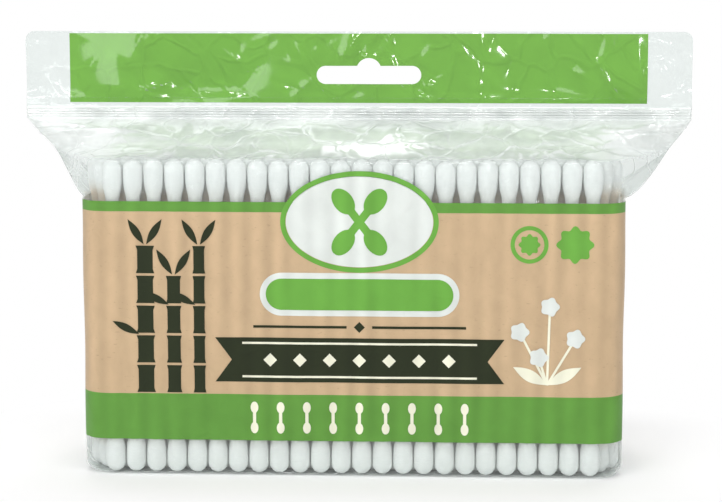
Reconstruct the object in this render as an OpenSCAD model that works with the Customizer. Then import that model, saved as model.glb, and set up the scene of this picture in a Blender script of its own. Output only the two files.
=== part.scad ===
// Clear pouch of cotton swabs on bamboo sticks, with a printed header, a hang
// slot, a press-to-close zip and a printed label on the front film.
// Millimetres. X runs across the pouch, Y from front to back and Z up. The
// origin lies on the table under the middle of the pouch.

/* [Swab] */
// Length of a swab from tip to tip
swab_l = 75; // [73:0.5:85]
// Diameter of the bamboo stick
stick_d = 2.2; // [1.8:0.1:2.8]
// Diameter of a cotton bud at its widest
bud_d = 4.75; // [4.2:0.05:5.6]
// Length of a cotton bud from its tip to its end on the stick
bud_l = 12.8; // [11:0.2:18]
// Distance from the tip to where the bud starts to narrow
swell_l = 5.2; // [4:0.1:7]
// Distance from the tip to where the bud has narrowed to its neck
taper_l = 10.2; // [8:0.1:10.4]
// Thickness of the cotton over the end of the stick
tip_cover = 1.6; // [1:0.1:2.4]
// Thickness of the cotton at the neck
neck_t = 0.45; // [0.3:0.05:0.7]
// Thickness of the cotton where it ends on the stick
end_t = 0.2; // [0.1:0.05:0.3]
// Air between the cotton and the stick it is wound on
wrap_gap = 0.04; // [0.02:0.01:0.1]

/* [Stack] */
// Swabs in the front row
front_count = 24; // [20:2:26]
// Swabs in the widest rows
widest_count = 26; // [26:2:30]
// Swabs in the back row
back_count = 23; // [17:2:25]
// Air between neighbours in a row
side_gap = 0.15; // [0.1:0.05:0.6]
// Air between a bud and the two it nests against in the next row
nest_gap = 0.06; // [0.04:0.02:0.4]

/* [Pouch film] */
// Thickness of the film
film_t = 0.15; // [0.1:0.01:0.3]
// Air between the front and back rows and the film
front_play = 0.12; // [0.1:0.02:0.8]
// Air between the widest rows and the film
side_play = 0.35; // [0.3:0.05:1.5]
// Air under the swabs
foot_play = 0.1; // [0.05:0.05:0.5]
// Height of the film's rounding above the centre of a bud's tip
head_play = 0.1; // [0.05:0.05:1]
// Radius of the bottom edge
base_r = 2.6; // [1.5:0.1:2.6]
// Radius of the film where the front turns into the sloping shoulder
edge_r = 2.6; // [2.4:0.1:2.8]
// How far the film spreads past the swabs on each side at the zip
wing_w = 16.9; // [8:0.1:24]
// Height from where the film starts to spread up to the swab tips
wing_drop = 9.2; // [4:0.1:14]
// Height of the sloping shoulder, from the swab tips to the zip
shoulder_h = 7.8; // [5:0.1:14]
// Width of the soft side fold halfway up the shoulder
fold_w = 22; // [14:0.5:28]

/* [Zip] */
// Height of the zip strips
zip_h = 2.4; // [2:0.1:3.4]
// Thickness of the web that is welded to the film
web_t = 0.25; // [0.15:0.05:0.4]
// Diameter of the bead on the rib strip
bead_d = 0.7; // [0.5:0.05:0.9]
// Thickness of the rib behind the bead
rib_t = 0.34; // [0.2:0.02:0.44]
// Wall of the groove that takes the bead
jaw_t = 0.24; // [0.15:0.01:0.35]
// Running clearance of the bead in its groove
bead_gap = 0.06; // [0.03:0.01:0.1]
// Clearance between the webs and the film
weld_gap = 0.03; // [0.01:0.01:0.1]
// Distance from the end of a zip strip to the side edge
zip_end = 2.5; // [1.5:0.1:6]
// Clearance between the groove strip's lips and the facing web
mate_gap = 0.1; // [0.06:0.02:0.3]

/* [Header] */
// Height of the sealed header above the zip
header_h = 18.2; // [14:0.1:30]
// Radius of the header's top corners
header_r = 2.2; // [1:0.1:6]
// Width of the hang slot
slot_w = 25.4; // [18:0.1:32]
// Height of the hang slot's arms
slot_h = 4.4; // [4.2:0.1:6]
// Width of the bump over the middle of the slot
bump_w = 6.2; // [5:0.1:9]
// Height of the bump above the arms
bump_h = 1.9; // [1:0.1:2.6]
// How far the slot sits right of the middle
slot_shift = 3; // [-4:0.5:4]
// Distance from the bottom of the header to the bottom of the slot
slot_rise = 5.5; // [4:0.1:8]

/* [Print] */
// Thickness of a layer of ink
ink_t = 0.06; // [0.04:0.01:0.1]
// Air between ink and film, and between layers of ink
ink_gap = 0.05; // [0.03:0.01:0.1]
// How far the label runs on past the front corners along the sides
label_side = 16; // [1:0.5:18]
// Height of the label's lower band above the table
label_z = 8.5; // [4:0.5:10.5]
// Height of the lower band
band_h = 11.1; // [8:0.1:13]
// Clear film between the top of the label and the spreading film
label_head = 0.8; // [0.2:0.1:3]
// Height of the narrow stripe along the top of the brown field
stripe_h = 2.4; // [1.5:0.1:4]
// Clear film left and right of the header print
header_side = 10.8; // [6:0.1:18]
// Clear film below the header print
header_foot = 0.9; // [0.4:0.1:3]
// Clear film above the header print
header_head = 0.5; // [0.3:0.1:3]
// Width of the oval badge
badge_w = 37; // [28:0.5:44]
// Height of the oval badge as a share of the room over the lower band
badge_share = 0.45; // [0.36:0.01:0.46]
// Width of the line round the badge
badge_line = 1.2; // [0.8:0.1:2]
// Width of the blank nameplate
plate_w = 44; // [34:0.5:56]
// Height of the blank nameplate as a share of the room over the lower band
plate_share = 0.14; // [0.1:0.01:0.15]
// Width of the ribbon
ribbon_w = 68; // [50:1:76]
// Height of the ribbon as a share of the room over the lower band
ribbon_share = 0.2; // [0.16:0.01:0.22]
// Depth of the notch in the ribbon's ends
ribbon_notch = 3.9; // [2:0.1:6]
// Diameter of the round seals
seal_d = 8.8; // [6:0.1:9.4]

/* [Hidden] */
$fn = 36;

row_total = 12;
back_step = 1;
pitch = bud_d + side_gap;
row_pitch = sqrt(pow(bud_d + nest_gap, 2) - pow(pitch / 2, 2));
bud_r = bud_d / 2;
stick_r = stick_d / 2;
foot_z = film_t + foot_play;
tips_z = foot_z + swab_l;

// Swabs in row k: the front corners step out, the back corners step in. Rows
// with an even number of swabs nest between rows with an odd number.
function row_count(k) = min(
    front_count + k,
    widest_count - k % 2,
    back_count + back_step * (row_total - 1 - k)
);
// Place of swab i in row k. Every second row is shifted by half a pitch.
function swab_x(k, i) = (i - floor(row_count(k) / 2) + (k % 2 == 0 ? 0.5 : 0)) * pitch;
function row_y(k) = (k - (row_total - 1) / 2) * row_pitch;
function row_reach(k) = max(-swab_x(k, 0), swab_x(k, row_count(k) - 1));

// Outside of the filled part of the pouch
widest_reach = max([for (k = [0:row_total - 1]) row_reach(k)]);
half_w = widest_reach + bud_r + side_play + film_t;
half_d = -row_y(0) + bud_r + front_play + film_t;
corner_share = 0.9;
front_corner = corner_share * (half_w - row_reach(0));
back_corner = corner_share * (half_w - row_reach(row_total - 1));
wing_z = tips_z - wing_drop;
edge_z = tips_z - bud_r + head_play;
zip_z = tips_z + shoulder_h;
zip_top = zip_z + zip_h + 2 * weld_gap;
head_step = 0.5;
head_z = zip_top + head_step;
top_z = head_z + header_h;
head_w = half_w + wing_w;

// Half depth of the pouch at the zip: the groove's circle and both webs
jaw_r = bead_d / 2 + bead_gap + jaw_t;
zip_d = jaw_r + mate_gap + web_t + weld_gap + film_t;

// Each level of the film is [height, half depth, inset of the base edge]
base_levels = [
    for (a = [0, 30, 60, 90])
        [base_r * (1 - cos(a)), half_d - base_r * (1 - sin(a)), base_r * (1 - sin(a))]
];
wing_levels = [for (s = [0:0.25:1]) [wing_z + (edge_z - wing_z) * s, half_d, 0]];
edge_levels = [
    for (a = [24, 48, 72])
        [edge_z + edge_r * sin(a), half_d - edge_r * (1 - cos(a)), 0]
];
shoulder_start = edge_levels[2];
shoulder_levels = [
    for (s = [0.16:0.14:0.87])
        [
            shoulder_start[0] + (zip_z - shoulder_start[0]) * s,
            shoulder_start[1] + (zip_d - shoulder_start[1]) * s,
            0
        ]
];
zip_levels = [[zip_z, zip_d, 0], [zip_top, zip_d, 0]];
cavity_levels = concat(
    base_levels, wing_levels, edge_levels, shoulder_levels, zip_levels
);
header_levels = concat(
    [[head_z, film_t, 0]],
    [for (a = [0, 30, 60, 90]) [top_z - header_r * (1 - sin(a)), film_t, header_r * (1 - cos(a))]]
);
film_levels = concat(cavity_levels, header_levels);

// Share of the way up the spreading wings, 0 below them and 1 at the zip
function rise(z) = max(0, min(1, (z - wing_z) / (zip_z - wing_z)));
// Bell that is 1 halfway up the wings and 0 at both ends
function bell(t) = 4 * t * (1 - t);
function ease(t) = let (u = max(0, min(1, t))) u * u * (3 - 2 * u);
// The right wing spreads sooner than the left
function left_w(z) = half_w + wing_w * rise(z);
function right_w(z) = half_w + wing_w * pow(rise(z), 0.75);

// Quarter of a section, from the middle of the side round to the flat front.
// It is an arc low down and draws out to a thin fold where the wings spread.
corner_steps = 8;
function corner(w, d, run, side, power) = [
    for (i = [0:corner_steps])
        let (a = 90 - 90 * i / corner_steps)
            [w - run * (1 - sin(a)), side + (d - side) * pow(cos(a), power)]
];
function turned(list) = [for (i = [len(list) - 1:-1:0]) list[i]];

// Half thickness of the film's outside and inside at the side edge
seam_out = film_t * 0.7;
seam_in = film_t * 0.3;
// Length over which the pouch thins out to its side edge at the zip
seam_edge = 1.1;
// Extra width of the weld along the wings' side edges at the zip
seal_w = 0.5;
// How hollow the film falls in from the filled corners to the wings' edges
fold_hollow = 2.5;
// Shares of the front's side fold and of its hollow that the back has
back_fold = 0.6;
back_hollow = 0.4;
// Most of a section's half depth that its upright side may take
side_share = 0.9;

// Share of the way up the shoulder, 0 at the swab tips and 1 at the zip
function climb(z) = max(0, min(1, (z - tips_z) / (zip_z - tips_z)));
// Length over which a corner turns from the flat front or back to the side.
// Beside the swabs it reaches from the end swab out to the wing's edge.
function corner_run(radius, reach, z, fold) =
    let (t = climb(z), beside = radius + reach - half_w)
    beside + (seam_edge - beside) * ease(t) + fold * bell(t);

// One closed section at height z, anticlockwise from the middle of the right
// side: d is its half depth, inset the base rounding, skin the depth inside
// the film at the sides and edge the half thickness at the side edge
function section(z, d, inset, skin, edge) =
    let (
        keep = 1 - ease(1.5 * rise(z)),
        hollow = fold_hollow * ease(1.6 * rise(z)) * (1 - climb(z)),
        front_power = 1 + hollow,
        back_power = 1 + back_hollow * hollow,
        back_w = back_fold * fold_w,
        right = right_w(z),
        left = left_w(z),
        off = inset + skin,
        front_side = min(edge + (half_d - front_corner - edge) * keep, side_share * d),
        back_side = min(edge + (half_d - back_corner - edge) * keep, side_share * d),
        back_right = corner(
            right - off, d, corner_run(back_corner, right, z, back_w) - off, back_side, back_power
        ),
        back_left = corner(
            left - off, d, corner_run(back_corner, left, z, back_w) - off, back_side, back_power
        ),
        front_left = corner(
            left - off, d, corner_run(front_corner, left, z, fold_w) - off, front_side, front_power
        ),
        front_right = corner(
            right - off, d, corner_run(front_corner, right, z, fold_w) - off, front_side, front_power
        )
    )
    concat(
        [for (p = back_right) [p[0], p[1], z]],
        [for (p = turned(back_left)) [-p[0], p[1], z]],
        [for (p = front_left) [-p[0], -p[1], z]],
        [for (p = turned(front_right)) [p[0], -p[1], z]]
    );

// Height and half depth of level k of the cavity: the outside's level moved
// inwards by the film's thickness along the normal of the profile
function cavity_level(k) =
    let (
        here = cavity_levels[k],
        before = k == 0 ? [here[0], here[1] - 1] : cavity_levels[k - 1],
        after = k == len(cavity_levels) - 1 ? [here[0] + 1, here[1]] : cavity_levels[k + 1],
        along = k == 0 ? [0, 1] : [after[0] - before[0], after[1] - before[1]],
        size = norm(along)
    )
    [here[0] + film_t * along[1] / size, here[1] - film_t * along[0] / size, along[0] / size];
function cavity_skin(k) =
    let (t = rise(cavity_levels[k][0]))
    t > 0 ? film_t + seal_w * t : film_t * cavity_level(k)[2];

outside = [for (level = film_levels) section(level[0], level[1], level[2], 0, seam_out)];
inside = [
    for (k = [0:len(cavity_levels) - 1])
        let (level = cavity_level(k))
            section(level[0], level[1], cavity_levels[k][2], cavity_skin(k), seam_in)
];

// Closed solid through a list of sections of equal length
module loft(sections) {
    n = len(sections[0]);
    rings = len(sections);
    polyhedron(
        points = [for (ring = sections, p = ring) p],
        faces = concat(
            [[for (i = [0:n - 1]) i]],
            [[for (i = [n - 1:-1:0]) (rings - 1) * n + i]],
            [
                for (k = [0:rings - 2], i = [0:n - 1])
                    let (j = (i + 1) % n)
                        [k * n + i, (k + 1) * n + i, (k + 1) * n + j]
            ],
            [
                for (k = [0:rings - 2], i = [0:n - 1])
                    let (j = (i + 1) % n)
                        [k * n + i, (k + 1) * n + j, k * n + j]
            ]
        )
    );
}

// Hang slot, a long hole with a bump over its middle, cut through along Y
slot_z = head_z + slot_rise + slot_h / 2;
slot_reach = 4;
module slot_cut() {
    translate([slot_shift, 0, slot_z]) rotate([90, 0, 0]) {
        for (side = [-1, 1])
            translate([side * (slot_w - slot_h) / 2, 0, 0])
                cylinder(d = slot_h, h = slot_reach, center = true);
        cube([slot_w - slot_h, slot_h, slot_reach], center = true);
        translate([0, slot_h / 2 + bump_h - bump_w / 2, 0])
            cylinder(d = bump_w, h = slot_reach, center = true);
    }
}

module bag_film() {
    color([0.9, 0.93, 0.92, 0.35]) difference() {
        loft(outside);
        loft(inside);
        slot_cut();
    }
}

// Zip profiles are drawn with Y to the right and Z up, then run along X
zip_l = 2 * (head_w - zip_end);
zip_mid = zip_z + weld_gap + zip_h / 2;
web_y = jaw_r + mate_gap;
module along_zip() {
    translate([-zip_l / 2, 0, zip_mid]) rotate([90, 0, 90]) linear_extrude(zip_l) children();
}

// Web on the front film with a round groove that is open to the back
module zip_groove_strip() {
    bore_r = bead_d / 2 + bead_gap;
    mouth = rib_t + 2 * bead_gap;
    color([0.93, 0.95, 0.95, 0.6]) along_zip() {
        translate([-web_y - web_t, -zip_h / 2]) square([web_t, zip_h]);
        difference() {
            union() {
                circle(jaw_r);
                translate([-web_y - web_t / 2, -bore_r]) square([web_y + web_t / 2, 2 * bore_r]);
            }
            circle(bore_r);
            translate([0, -mouth / 2]) square([2 * jaw_r, mouth]);
        }
    }
}

// Web on the back film with a rib that ends in a round bead
module zip_rib_strip() {
    color([0.93, 0.95, 0.95, 0.6]) along_zip() {
        translate([web_y, -zip_h / 2]) square([web_t, zip_h]);
        translate([0, -rib_t / 2]) square([web_y + web_t / 2, rib_t]);
        circle(bead_d / 2);
    }
}

// Distance of an ink layer's face from the film, layer 1 lying on the film
function ink_face(layer) = layer * (ink_gap + ink_t);

// Path of the label round the front of the pouch, off the film by some distance
label_end = half_d - front_corner - label_side;
function label_path(off) =
    let (quarter = [
        for (i = [0:corner_steps])
            let (a = 90 * i / corner_steps)
                [
                    half_w - front_corner + (front_corner + off) * sin(a),
                    -half_d + front_corner - (front_corner + off) * cos(a)
                ]
    ])
    concat(
        [[-half_w - off, -label_end]],
        [for (p = turned(quarter)) [-p[0], p[1]]],
        quarter,
        [[half_w + off, -label_end]]
    );
module label_field(z, h) {
    translate([0, 0, z]) linear_extrude(h)
        polygon(concat(label_path(ink_face(1)), turned(label_path(ink_gap))));
}

// A flat print on the front film, drawn in X and Z
module print(layer, y = half_d) {
    translate([0, ink_t - y - ink_face(layer), 0]) rotate([90, 0, 0])
        linear_extrude(ink_t) children();
}

// Clear line between two figures that lie side by side in one layer
line_gap = 0.1;
badge_x = 2;
badge_drop = 0.4;
plate_halo = 1.4;
// Rule of two bars with a diamond in the break between them
rule_w = 50;
rule_t = 0.6;
rule_break = 6;
rule_diamond = 2.6;
// Lines and diamonds on the ribbon
ribbon_rise = 3;
ribbon_line = 0.5;
ribbon_edge = 1.05;
ribbon_end = 2.5;
ribbon_diamond = 3.2;
ribbon_step = 7;
// Swab signs: two crossed on the badge and a row on the lower band
sign_l = 17;
sign_turn = 38;
band_sign = 6.8;
band_signs = 9;
sign_step = 6.2;
// Seals: one a ring round a rosette, the other a plain rosette
seal_x = 41.6;
seal_drop = 7.25;
seal_step = 10.6;
seal_hole = 0.78;
seal_core = 0.58;
// Canes as [place across, share of the brown field's height, width, joint
// that carries the low leaf]
CANES = [[-48.4, 0.86, 4.4, 2], [-41.7, 0.7, 3.6, 3], [-35.7, 0.83, 3, 3]];
cane_joint = 7.1;
cane_break = 0.6;
cane_waist = 0.84;
cane_bevel = 1;
cane_leaf = [7, 1.8];
leaf_turn = 32;
// Sprig of puffs on stems, with two leaves; puffs are placed from its foot
sprig_x = 46;
sprig_rise = 2.9;
sprig_puffs = [[-6.5, 12.5], [0.5, 18.5], [6.5, 11], [-2, 6.5]];
sprig_leaf = [9, 2.8];
sprig_turn = 62;
puff_d = 4.6;
puff_lobes = 5;
stem_t = 0.55;

band_top = label_z + band_h;
label_top = wing_z - label_head;
stripe_z = label_top - stripe_h;
badge_top = edge_z - badge_drop;
art_room = badge_top - band_top;
badge_h = badge_share * art_room;
plate_h = plate_share * art_room;
ribbon_h = ribbon_share * art_room;
badge_z = badge_top - badge_h / 2;
plate_z = badge_z - badge_h / 2 - line_gap - plate_halo - plate_h / 2;
ribbon_z = band_top + ribbon_rise + ribbon_h / 2;
// The rule lies halfway between the plate and the ribbon
rule_z = (plate_z - plate_h / 2 - plate_halo + ribbon_z + ribbon_h / 2) / 2;
band_mid = label_z + band_h / 2;
seal_z = stripe_z - seal_drop;
sprig_z = band_top + sprig_rise;

module oval(w, h) {
    polygon([for (a = [0:10:350]) [w / 2 * cos(a), h / 2 * sin(a)]]);
}
module pill(w, h) {
    polygon([
        for (side = [1, -1], a = [-90:15:90])
            [side * (w - h) / 2 + side * h / 2 * cos(a), side * h / 2 * sin(a)]
    ]);
}
module diamond(w, h) {
    polygon([[-w / 2, 0], [0, -h / 2], [w / 2, 0], [0, h / 2]]);
}
// Leaf from its stalk at the origin to its point at a distance of l
module leaf(l, w) {
    polygon(concat(
        [for (t = [0:0.125:1]) [l * t, w / 2 * sin(180 * t)]],
        [for (t = [0.875:-0.125:0.125]) [l * t, -w / 2 * sin(180 * t)]]
    ));
}
// Outline of a swab standing upright round the origin
module swab_sign(l) {
    square([0.11 * l, 0.8 * l], center = true);
    for (side = [-1, 1]) translate([0, side * 0.36 * l]) oval(0.27 * l, 0.4 * l);
}

// Round figure with a scalloped edge
module rosette(d, lobes = 8) {
    polygon([for (a = [0:7.5:352.5]) d / 2 * (0.9 + 0.1 * cos(lobes * a)) * [cos(a), sin(a)]]);
}
// Right half of one joint of a cane, a little narrower between its ends
function cane_side(w) = [
    [w / 2, cane_break / 2], [cane_waist * w / 2, cane_break / 2 + cane_bevel],
    [cane_waist * w / 2, cane_joint - cane_break / 2 - cane_bevel],
    [w / 2, cane_joint - cane_break / 2]
];
// Cane of joints with two leaves at its head and one lower down
module cane(h, w, low) {
    joints = floor(h / cane_joint);
    for (i = [0:joints - 1]) translate([0, i * cane_joint])
        polygon(concat(cane_side(w), [for (p = turned(cane_side(w))) [-p[0], p[1]]]));
    for (side = [-1, 1])
        translate([side * cane_break / 2, joints * cane_joint])
            rotate(90 - leaf_turn * side) leaf(cane_leaf[0], cane_leaf[1]);
    translate([-w / 2 + cane_break, low * cane_joint])
        rotate(90 + 2 * leaf_turn) leaf(cane_leaf[0], cane_leaf[1]);
}
module sprig() {
    for (p = sprig_puffs)
        rotate(atan2(p[1], p[0])) translate([0, -stem_t / 2]) square([norm(p), stem_t]);
    for (side = [-1, 1]) rotate(90 - sprig_turn * side) leaf(sprig_leaf[0], sprig_leaf[1]);
}

module ink_header() {
    w = head_w - header_side;
    low = head_z + header_foot;
    color([0.48, 0.71, 0.31]) difference() {
        print(1, film_t) translate([-w, low]) square([2 * w, top_z - header_head - low]);
        slot_cut();
    }
}
module ink_kraft_field() {
    color([0.82, 0.68, 0.55]) label_field(band_top, stripe_z - band_top);
}
module ink_green_bands() {
    color([0.42, 0.63, 0.28]) {
        label_field(label_z, band_h - ink_gap);
        label_field(stripe_z + ink_gap, stripe_h - ink_gap);
    }
}
module ink_white() {
    color([0.93, 0.95, 0.93]) {
        print(2) translate([badge_x, badge_z])
            oval(badge_w - 2 * badge_line - 2 * line_gap, badge_h - 2 * badge_line - 2 * line_gap);
        print(2) translate([badge_x, plate_z])
            pill(plate_w + 2 * plate_halo, plate_h + 2 * plate_halo);
        print(3) for (p = sprig_puffs)
            translate([sprig_x + p[0], sprig_z + p[1]]) rosette(puff_d, puff_lobes);
    }
}
module ink_leaf_green() {
    color([0.42, 0.65, 0.26]) {
        print(2) translate([badge_x, badge_z]) difference() {
            oval(badge_w, badge_h);
            oval(badge_w - 2 * badge_line, badge_h - 2 * badge_line);
        }
        print(3) translate([badge_x, badge_z]) {
            for (side = [-1, 1]) rotate(side * sign_turn) swab_sign(sign_l);
        }
        print(3) translate([badge_x, plate_z]) pill(plate_w, plate_h);
        print(2) translate([seal_x, seal_z]) difference() {
            oval(seal_d, seal_d);
            oval(seal_hole * seal_d, seal_hole * seal_d);
        }
        print(2) translate([seal_x, seal_z]) rosette(seal_core * seal_d);
        print(2) translate([seal_x + seal_step, seal_z]) rosette(seal_d);
    }
}
module ink_dark_green() {
    w = ribbon_w / 2;
    h = ribbon_h / 2;
    bar = (rule_w - rule_break) / 2;
    color([0.17, 0.2, 0.12]) {
        print(2) translate([badge_x, ribbon_z]) polygon([
            [-w, -h], [w, -h], [w - ribbon_notch, 0], [w, h], [-w, h], [-w + ribbon_notch, 0]
        ]);
        print(2) translate([badge_x, rule_z]) {
            for (side = [-1, 1])
                translate([side * (rule_break + bar) / 2, 0]) square([bar, rule_t], center = true);
            diamond(rule_diamond, rule_diamond);
        }
        print(2) for (c = CANES)
            translate([c[0], band_top]) cane(c[1] * (stripe_z - band_top), c[2], c[3]);
    }
}
module ink_cream() {
    marks = floor((ribbon_w / 2 - ribbon_notch - ribbon_diamond) / ribbon_step);
    color([0.9, 0.9, 0.8]) {
        print(3) translate([badge_x, ribbon_z]) {
            for (side = [-1, 1])
                translate([0, side * (ribbon_h / 2 - ribbon_edge - ribbon_line / 2)])
                    square([ribbon_w - 2 * ribbon_notch - 2 * ribbon_end, ribbon_line], center = true);
            for (i = [-marks:marks])
                translate([ribbon_step * i, 0]) diamond(ribbon_diamond, ribbon_diamond);
        }
        print(2) for (i = [0:band_signs - 1])
            translate([badge_x + sign_step * (i - (band_signs - 1) / 2), band_mid])
                swab_sign(band_sign);
        print(2) translate([sprig_x, sprig_z]) sprig();
    }
}

// A bud stands on its round tip at the origin. Its cotton is wound on a stick
// that stops short of the tip.
module bud() {
    bore_r = stick_r + wrap_gap;
    rotate_extrude() difference() {
        union() {
            intersection() {
                translate([0, bud_r]) circle(bud_r);
                square(bud_r);
            }
            translate([0, bud_r]) polygon([
                [0, 0], [bud_r, 0], [bud_r, swell_l - bud_r],
                [bore_r + neck_t, taper_l - bud_r],
                [bore_r + end_t, bud_l - bud_r], [0, bud_l - bud_r]
            ]);
        }
        translate([0, tip_cover]) square([bore_r, bud_l]);
    }
}
module swab_places(k) {
    for (i = [0:row_count(k) - 1])
        translate([swab_x(k, i), row_y(k), foot_z]) children();
}
module row_sticks(k) {
    color([0.85, 0.72, 0.5]) swab_places(k)
        translate([0, 0, tip_cover + wrap_gap])
            cylinder(r = stick_r, h = swab_l - 2 * (tip_cover + wrap_gap));
}
module row_cotton_buds(k) {
    color([0.95, 0.96, 0.95]) swab_places(k) {
        bud();
        translate([0, 0, swab_l]) mirror([0, 0, 1]) bud();
    }
}

bag_film();
zip_groove_strip();
zip_rib_strip();
ink_header();
ink_kraft_field();
ink_green_bands();
ink_white();
ink_leaf_green();
ink_dark_green();
ink_cream();
row_sticks(0);  // row_01_sticks
row_cotton_buds(0);  // row_01_cotton_buds
row_sticks(1);  // row_02_sticks
row_cotton_buds(1);  // row_02_cotton_buds
row_sticks(2);  // row_03_sticks
row_cotton_buds(2);  // row_03_cotton_buds
row_sticks(3);  // row_04_sticks
row_cotton_buds(3);  // row_04_cotton_buds
row_sticks(4);  // row_05_sticks
row_cotton_buds(4);  // row_05_cotton_buds
row_sticks(5);  // row_06_sticks
row_cotton_buds(5);  // row_06_cotton_buds
row_sticks(6);  // row_07_sticks
row_cotton_buds(6);  // row_07_cotton_buds
row_sticks(7);  // row_08_sticks
row_cotton_buds(7);  // row_08_cotton_buds
row_sticks(8);  // row_09_sticks
row_cotton_buds(8);  // row_09_cotton_buds
row_sticks(9);  // row_10_sticks
row_cotton_buds(9);  // row_10_cotton_buds
row_sticks(10);  // row_11_sticks
row_cotton_buds(10);  // row_11_cotton_buds
row_sticks(11);  // row_12_sticks
row_cotton_buds(11);  // row_12_cotton_buds
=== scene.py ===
"""Looks of a clear pouch of cotton swabs: film, zip, swabs, print and a plain white studio."""

import math
from types import SimpleNamespace

import bmesh
import bpy
import numpy as np
from bpy.props import FloatProperty, FloatVectorProperty, IntProperty, PointerProperty
from bpy.types import Operator, Panel, PropertyGroup
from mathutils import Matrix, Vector
from mathutils.geometry import delaunay_2d_cdt


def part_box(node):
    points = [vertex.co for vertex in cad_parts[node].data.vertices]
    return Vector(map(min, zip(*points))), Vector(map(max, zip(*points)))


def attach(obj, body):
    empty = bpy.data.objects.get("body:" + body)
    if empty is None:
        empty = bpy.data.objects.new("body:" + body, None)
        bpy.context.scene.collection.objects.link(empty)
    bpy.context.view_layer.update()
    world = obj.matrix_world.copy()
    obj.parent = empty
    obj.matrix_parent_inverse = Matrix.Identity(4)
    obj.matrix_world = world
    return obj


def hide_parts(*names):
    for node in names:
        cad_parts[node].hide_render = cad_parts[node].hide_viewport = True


bl_info = {
    "name": "Pouch of cotton swabs",
    "version": (1, 0, 0),
    "blender": (4, 5, 0),
    "location": "View3D > Sidebar > Swab pouch",
    "description": "Builds the film, zip, swabs, print and studio of a pouch of cotton swabs",
    "category": "Object",
}

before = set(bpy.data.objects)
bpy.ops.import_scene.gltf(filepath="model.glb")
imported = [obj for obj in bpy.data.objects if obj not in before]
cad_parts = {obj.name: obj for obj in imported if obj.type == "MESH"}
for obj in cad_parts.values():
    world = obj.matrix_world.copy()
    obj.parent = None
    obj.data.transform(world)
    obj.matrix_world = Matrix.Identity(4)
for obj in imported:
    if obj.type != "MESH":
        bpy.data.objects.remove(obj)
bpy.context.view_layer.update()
MM = 0.001
BODY = "root"

# Mesh of the film: steps along a face, round a corner and along a side
FACE_STEPS = 144
CORNER_STEPS = 20
SIDE_STEPS = 12
# Share of the room beside the outermost swab that the arc of a corner takes
CORNER_SHARE = 0.9
# How far the edge of the front turns in before the straight shoulder
SHOULDER_TURN = math.radians(72)
# Mesh steps of the plates of the header, the print fields and the printed figures
HEADER_MESH = 0.6 * MM
FIELD_MESH = 1.3 * MM
FIELD_COLUMNS = 241
FIGURE_MESH = 0.9 * MM
# How far each printed figure stands off the one before it in its layer
FIGURE_STEP = 0.002 * MM
# Degrees at which the rim of a plate and the cut end of a stick shade as sharp edges
PLATE_EDGE = 60
STICK_EDGE = 50


def linear(code):
    """Scene-linear colour of an sRGB hex value."""
    shares = [int(code[i : i + 2], 16) / 255 for i in (0, 2, 4)]
    return tuple(c / 12.92 if c <= 0.04045 else ((c + 0.055) / 1.055) ** 2.4 for c in shares)


def size(name, about, mm):
    """Length property with its default in millimetres."""
    return FloatProperty(name=name, description=about, default=mm * MM, unit="LENGTH", precision=5)


def tint(name, about, code):
    """Colour property with its default as an sRGB hex value."""
    return FloatVectorProperty(
        name=name, description=about, default=linear(code), subtype="COLOR", min=0, max=1
    )


def power(name, about, watts):
    """Lamp power property in watts."""
    return FloatProperty(name=name, description=about, default=watts, subtype="POWER")


def share_of(name, about, part):
    """Property for a share from 0 to 1."""
    return FloatProperty(name=name, description=about, default=part, subtype="FACTOR", min=0, max=1)


class SwabSizes(PropertyGroup):
    """One swab and the nested rows it stands in."""

    length: size("Length", "Swab from tip to tip", 75)
    stick_d: size("Stick", "Diameter of the bamboo stick", 2.2)
    bud_d: size("Bud", "Diameter of a bud at its widest", 4.75)
    bud_l: size("Bud length", "From the tip to where the cotton ends on the stick", 12.8)
    swell_l: size("Swell", "From the tip to where the bud starts to narrow", 5.2)
    taper_l: size("Taper", "From the tip to where the bud has narrowed to its neck", 10.2)
    tip_cover: size("Tip cover", "Cotton over the end of the stick", 1.6)
    neck_t: size("Neck", "Thickness of the cotton at the neck", 0.45)
    end_t: size("End", "Thickness of the cotton where it ends on the stick", 0.2)
    side_gap: size("Side gap", "Air between neighbours in a row", 0.15)
    nest_gap: size("Nest gap", "Air between a bud and the two it nests against", 0.06)
    front_count: IntProperty(name="Front row", description="Swabs in the front row", default=24)
    widest_count: IntProperty(name="Widest rows", description="Swabs in the widest rows", default=26)
    back_count: IntProperty(name="Back row", description="Swabs in the back row", default=23)
    back_step: IntProperty(name="Back step", description="Swabs lost per row towards the back", default=1)
    row_total: IntProperty(name="Rows", description="Rows from front to back", default=12)
    uneven: size("Uneven tips", "How far the lowest tip stands below the highest", 0.55)
    cotton: tint("Cotton", "Bleached cotton wool", "F8FAF9")
    neck: tint("Neck colour", "Thin cotton over the stick", "E6BE8C")
    bamboo: tint("Bamboo", "Pale face of a bamboo stick", "DCC49A")
    bamboo_grain: tint("Bamboo grain", "Darker fibres of the bamboo", "B08D5C")


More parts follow.
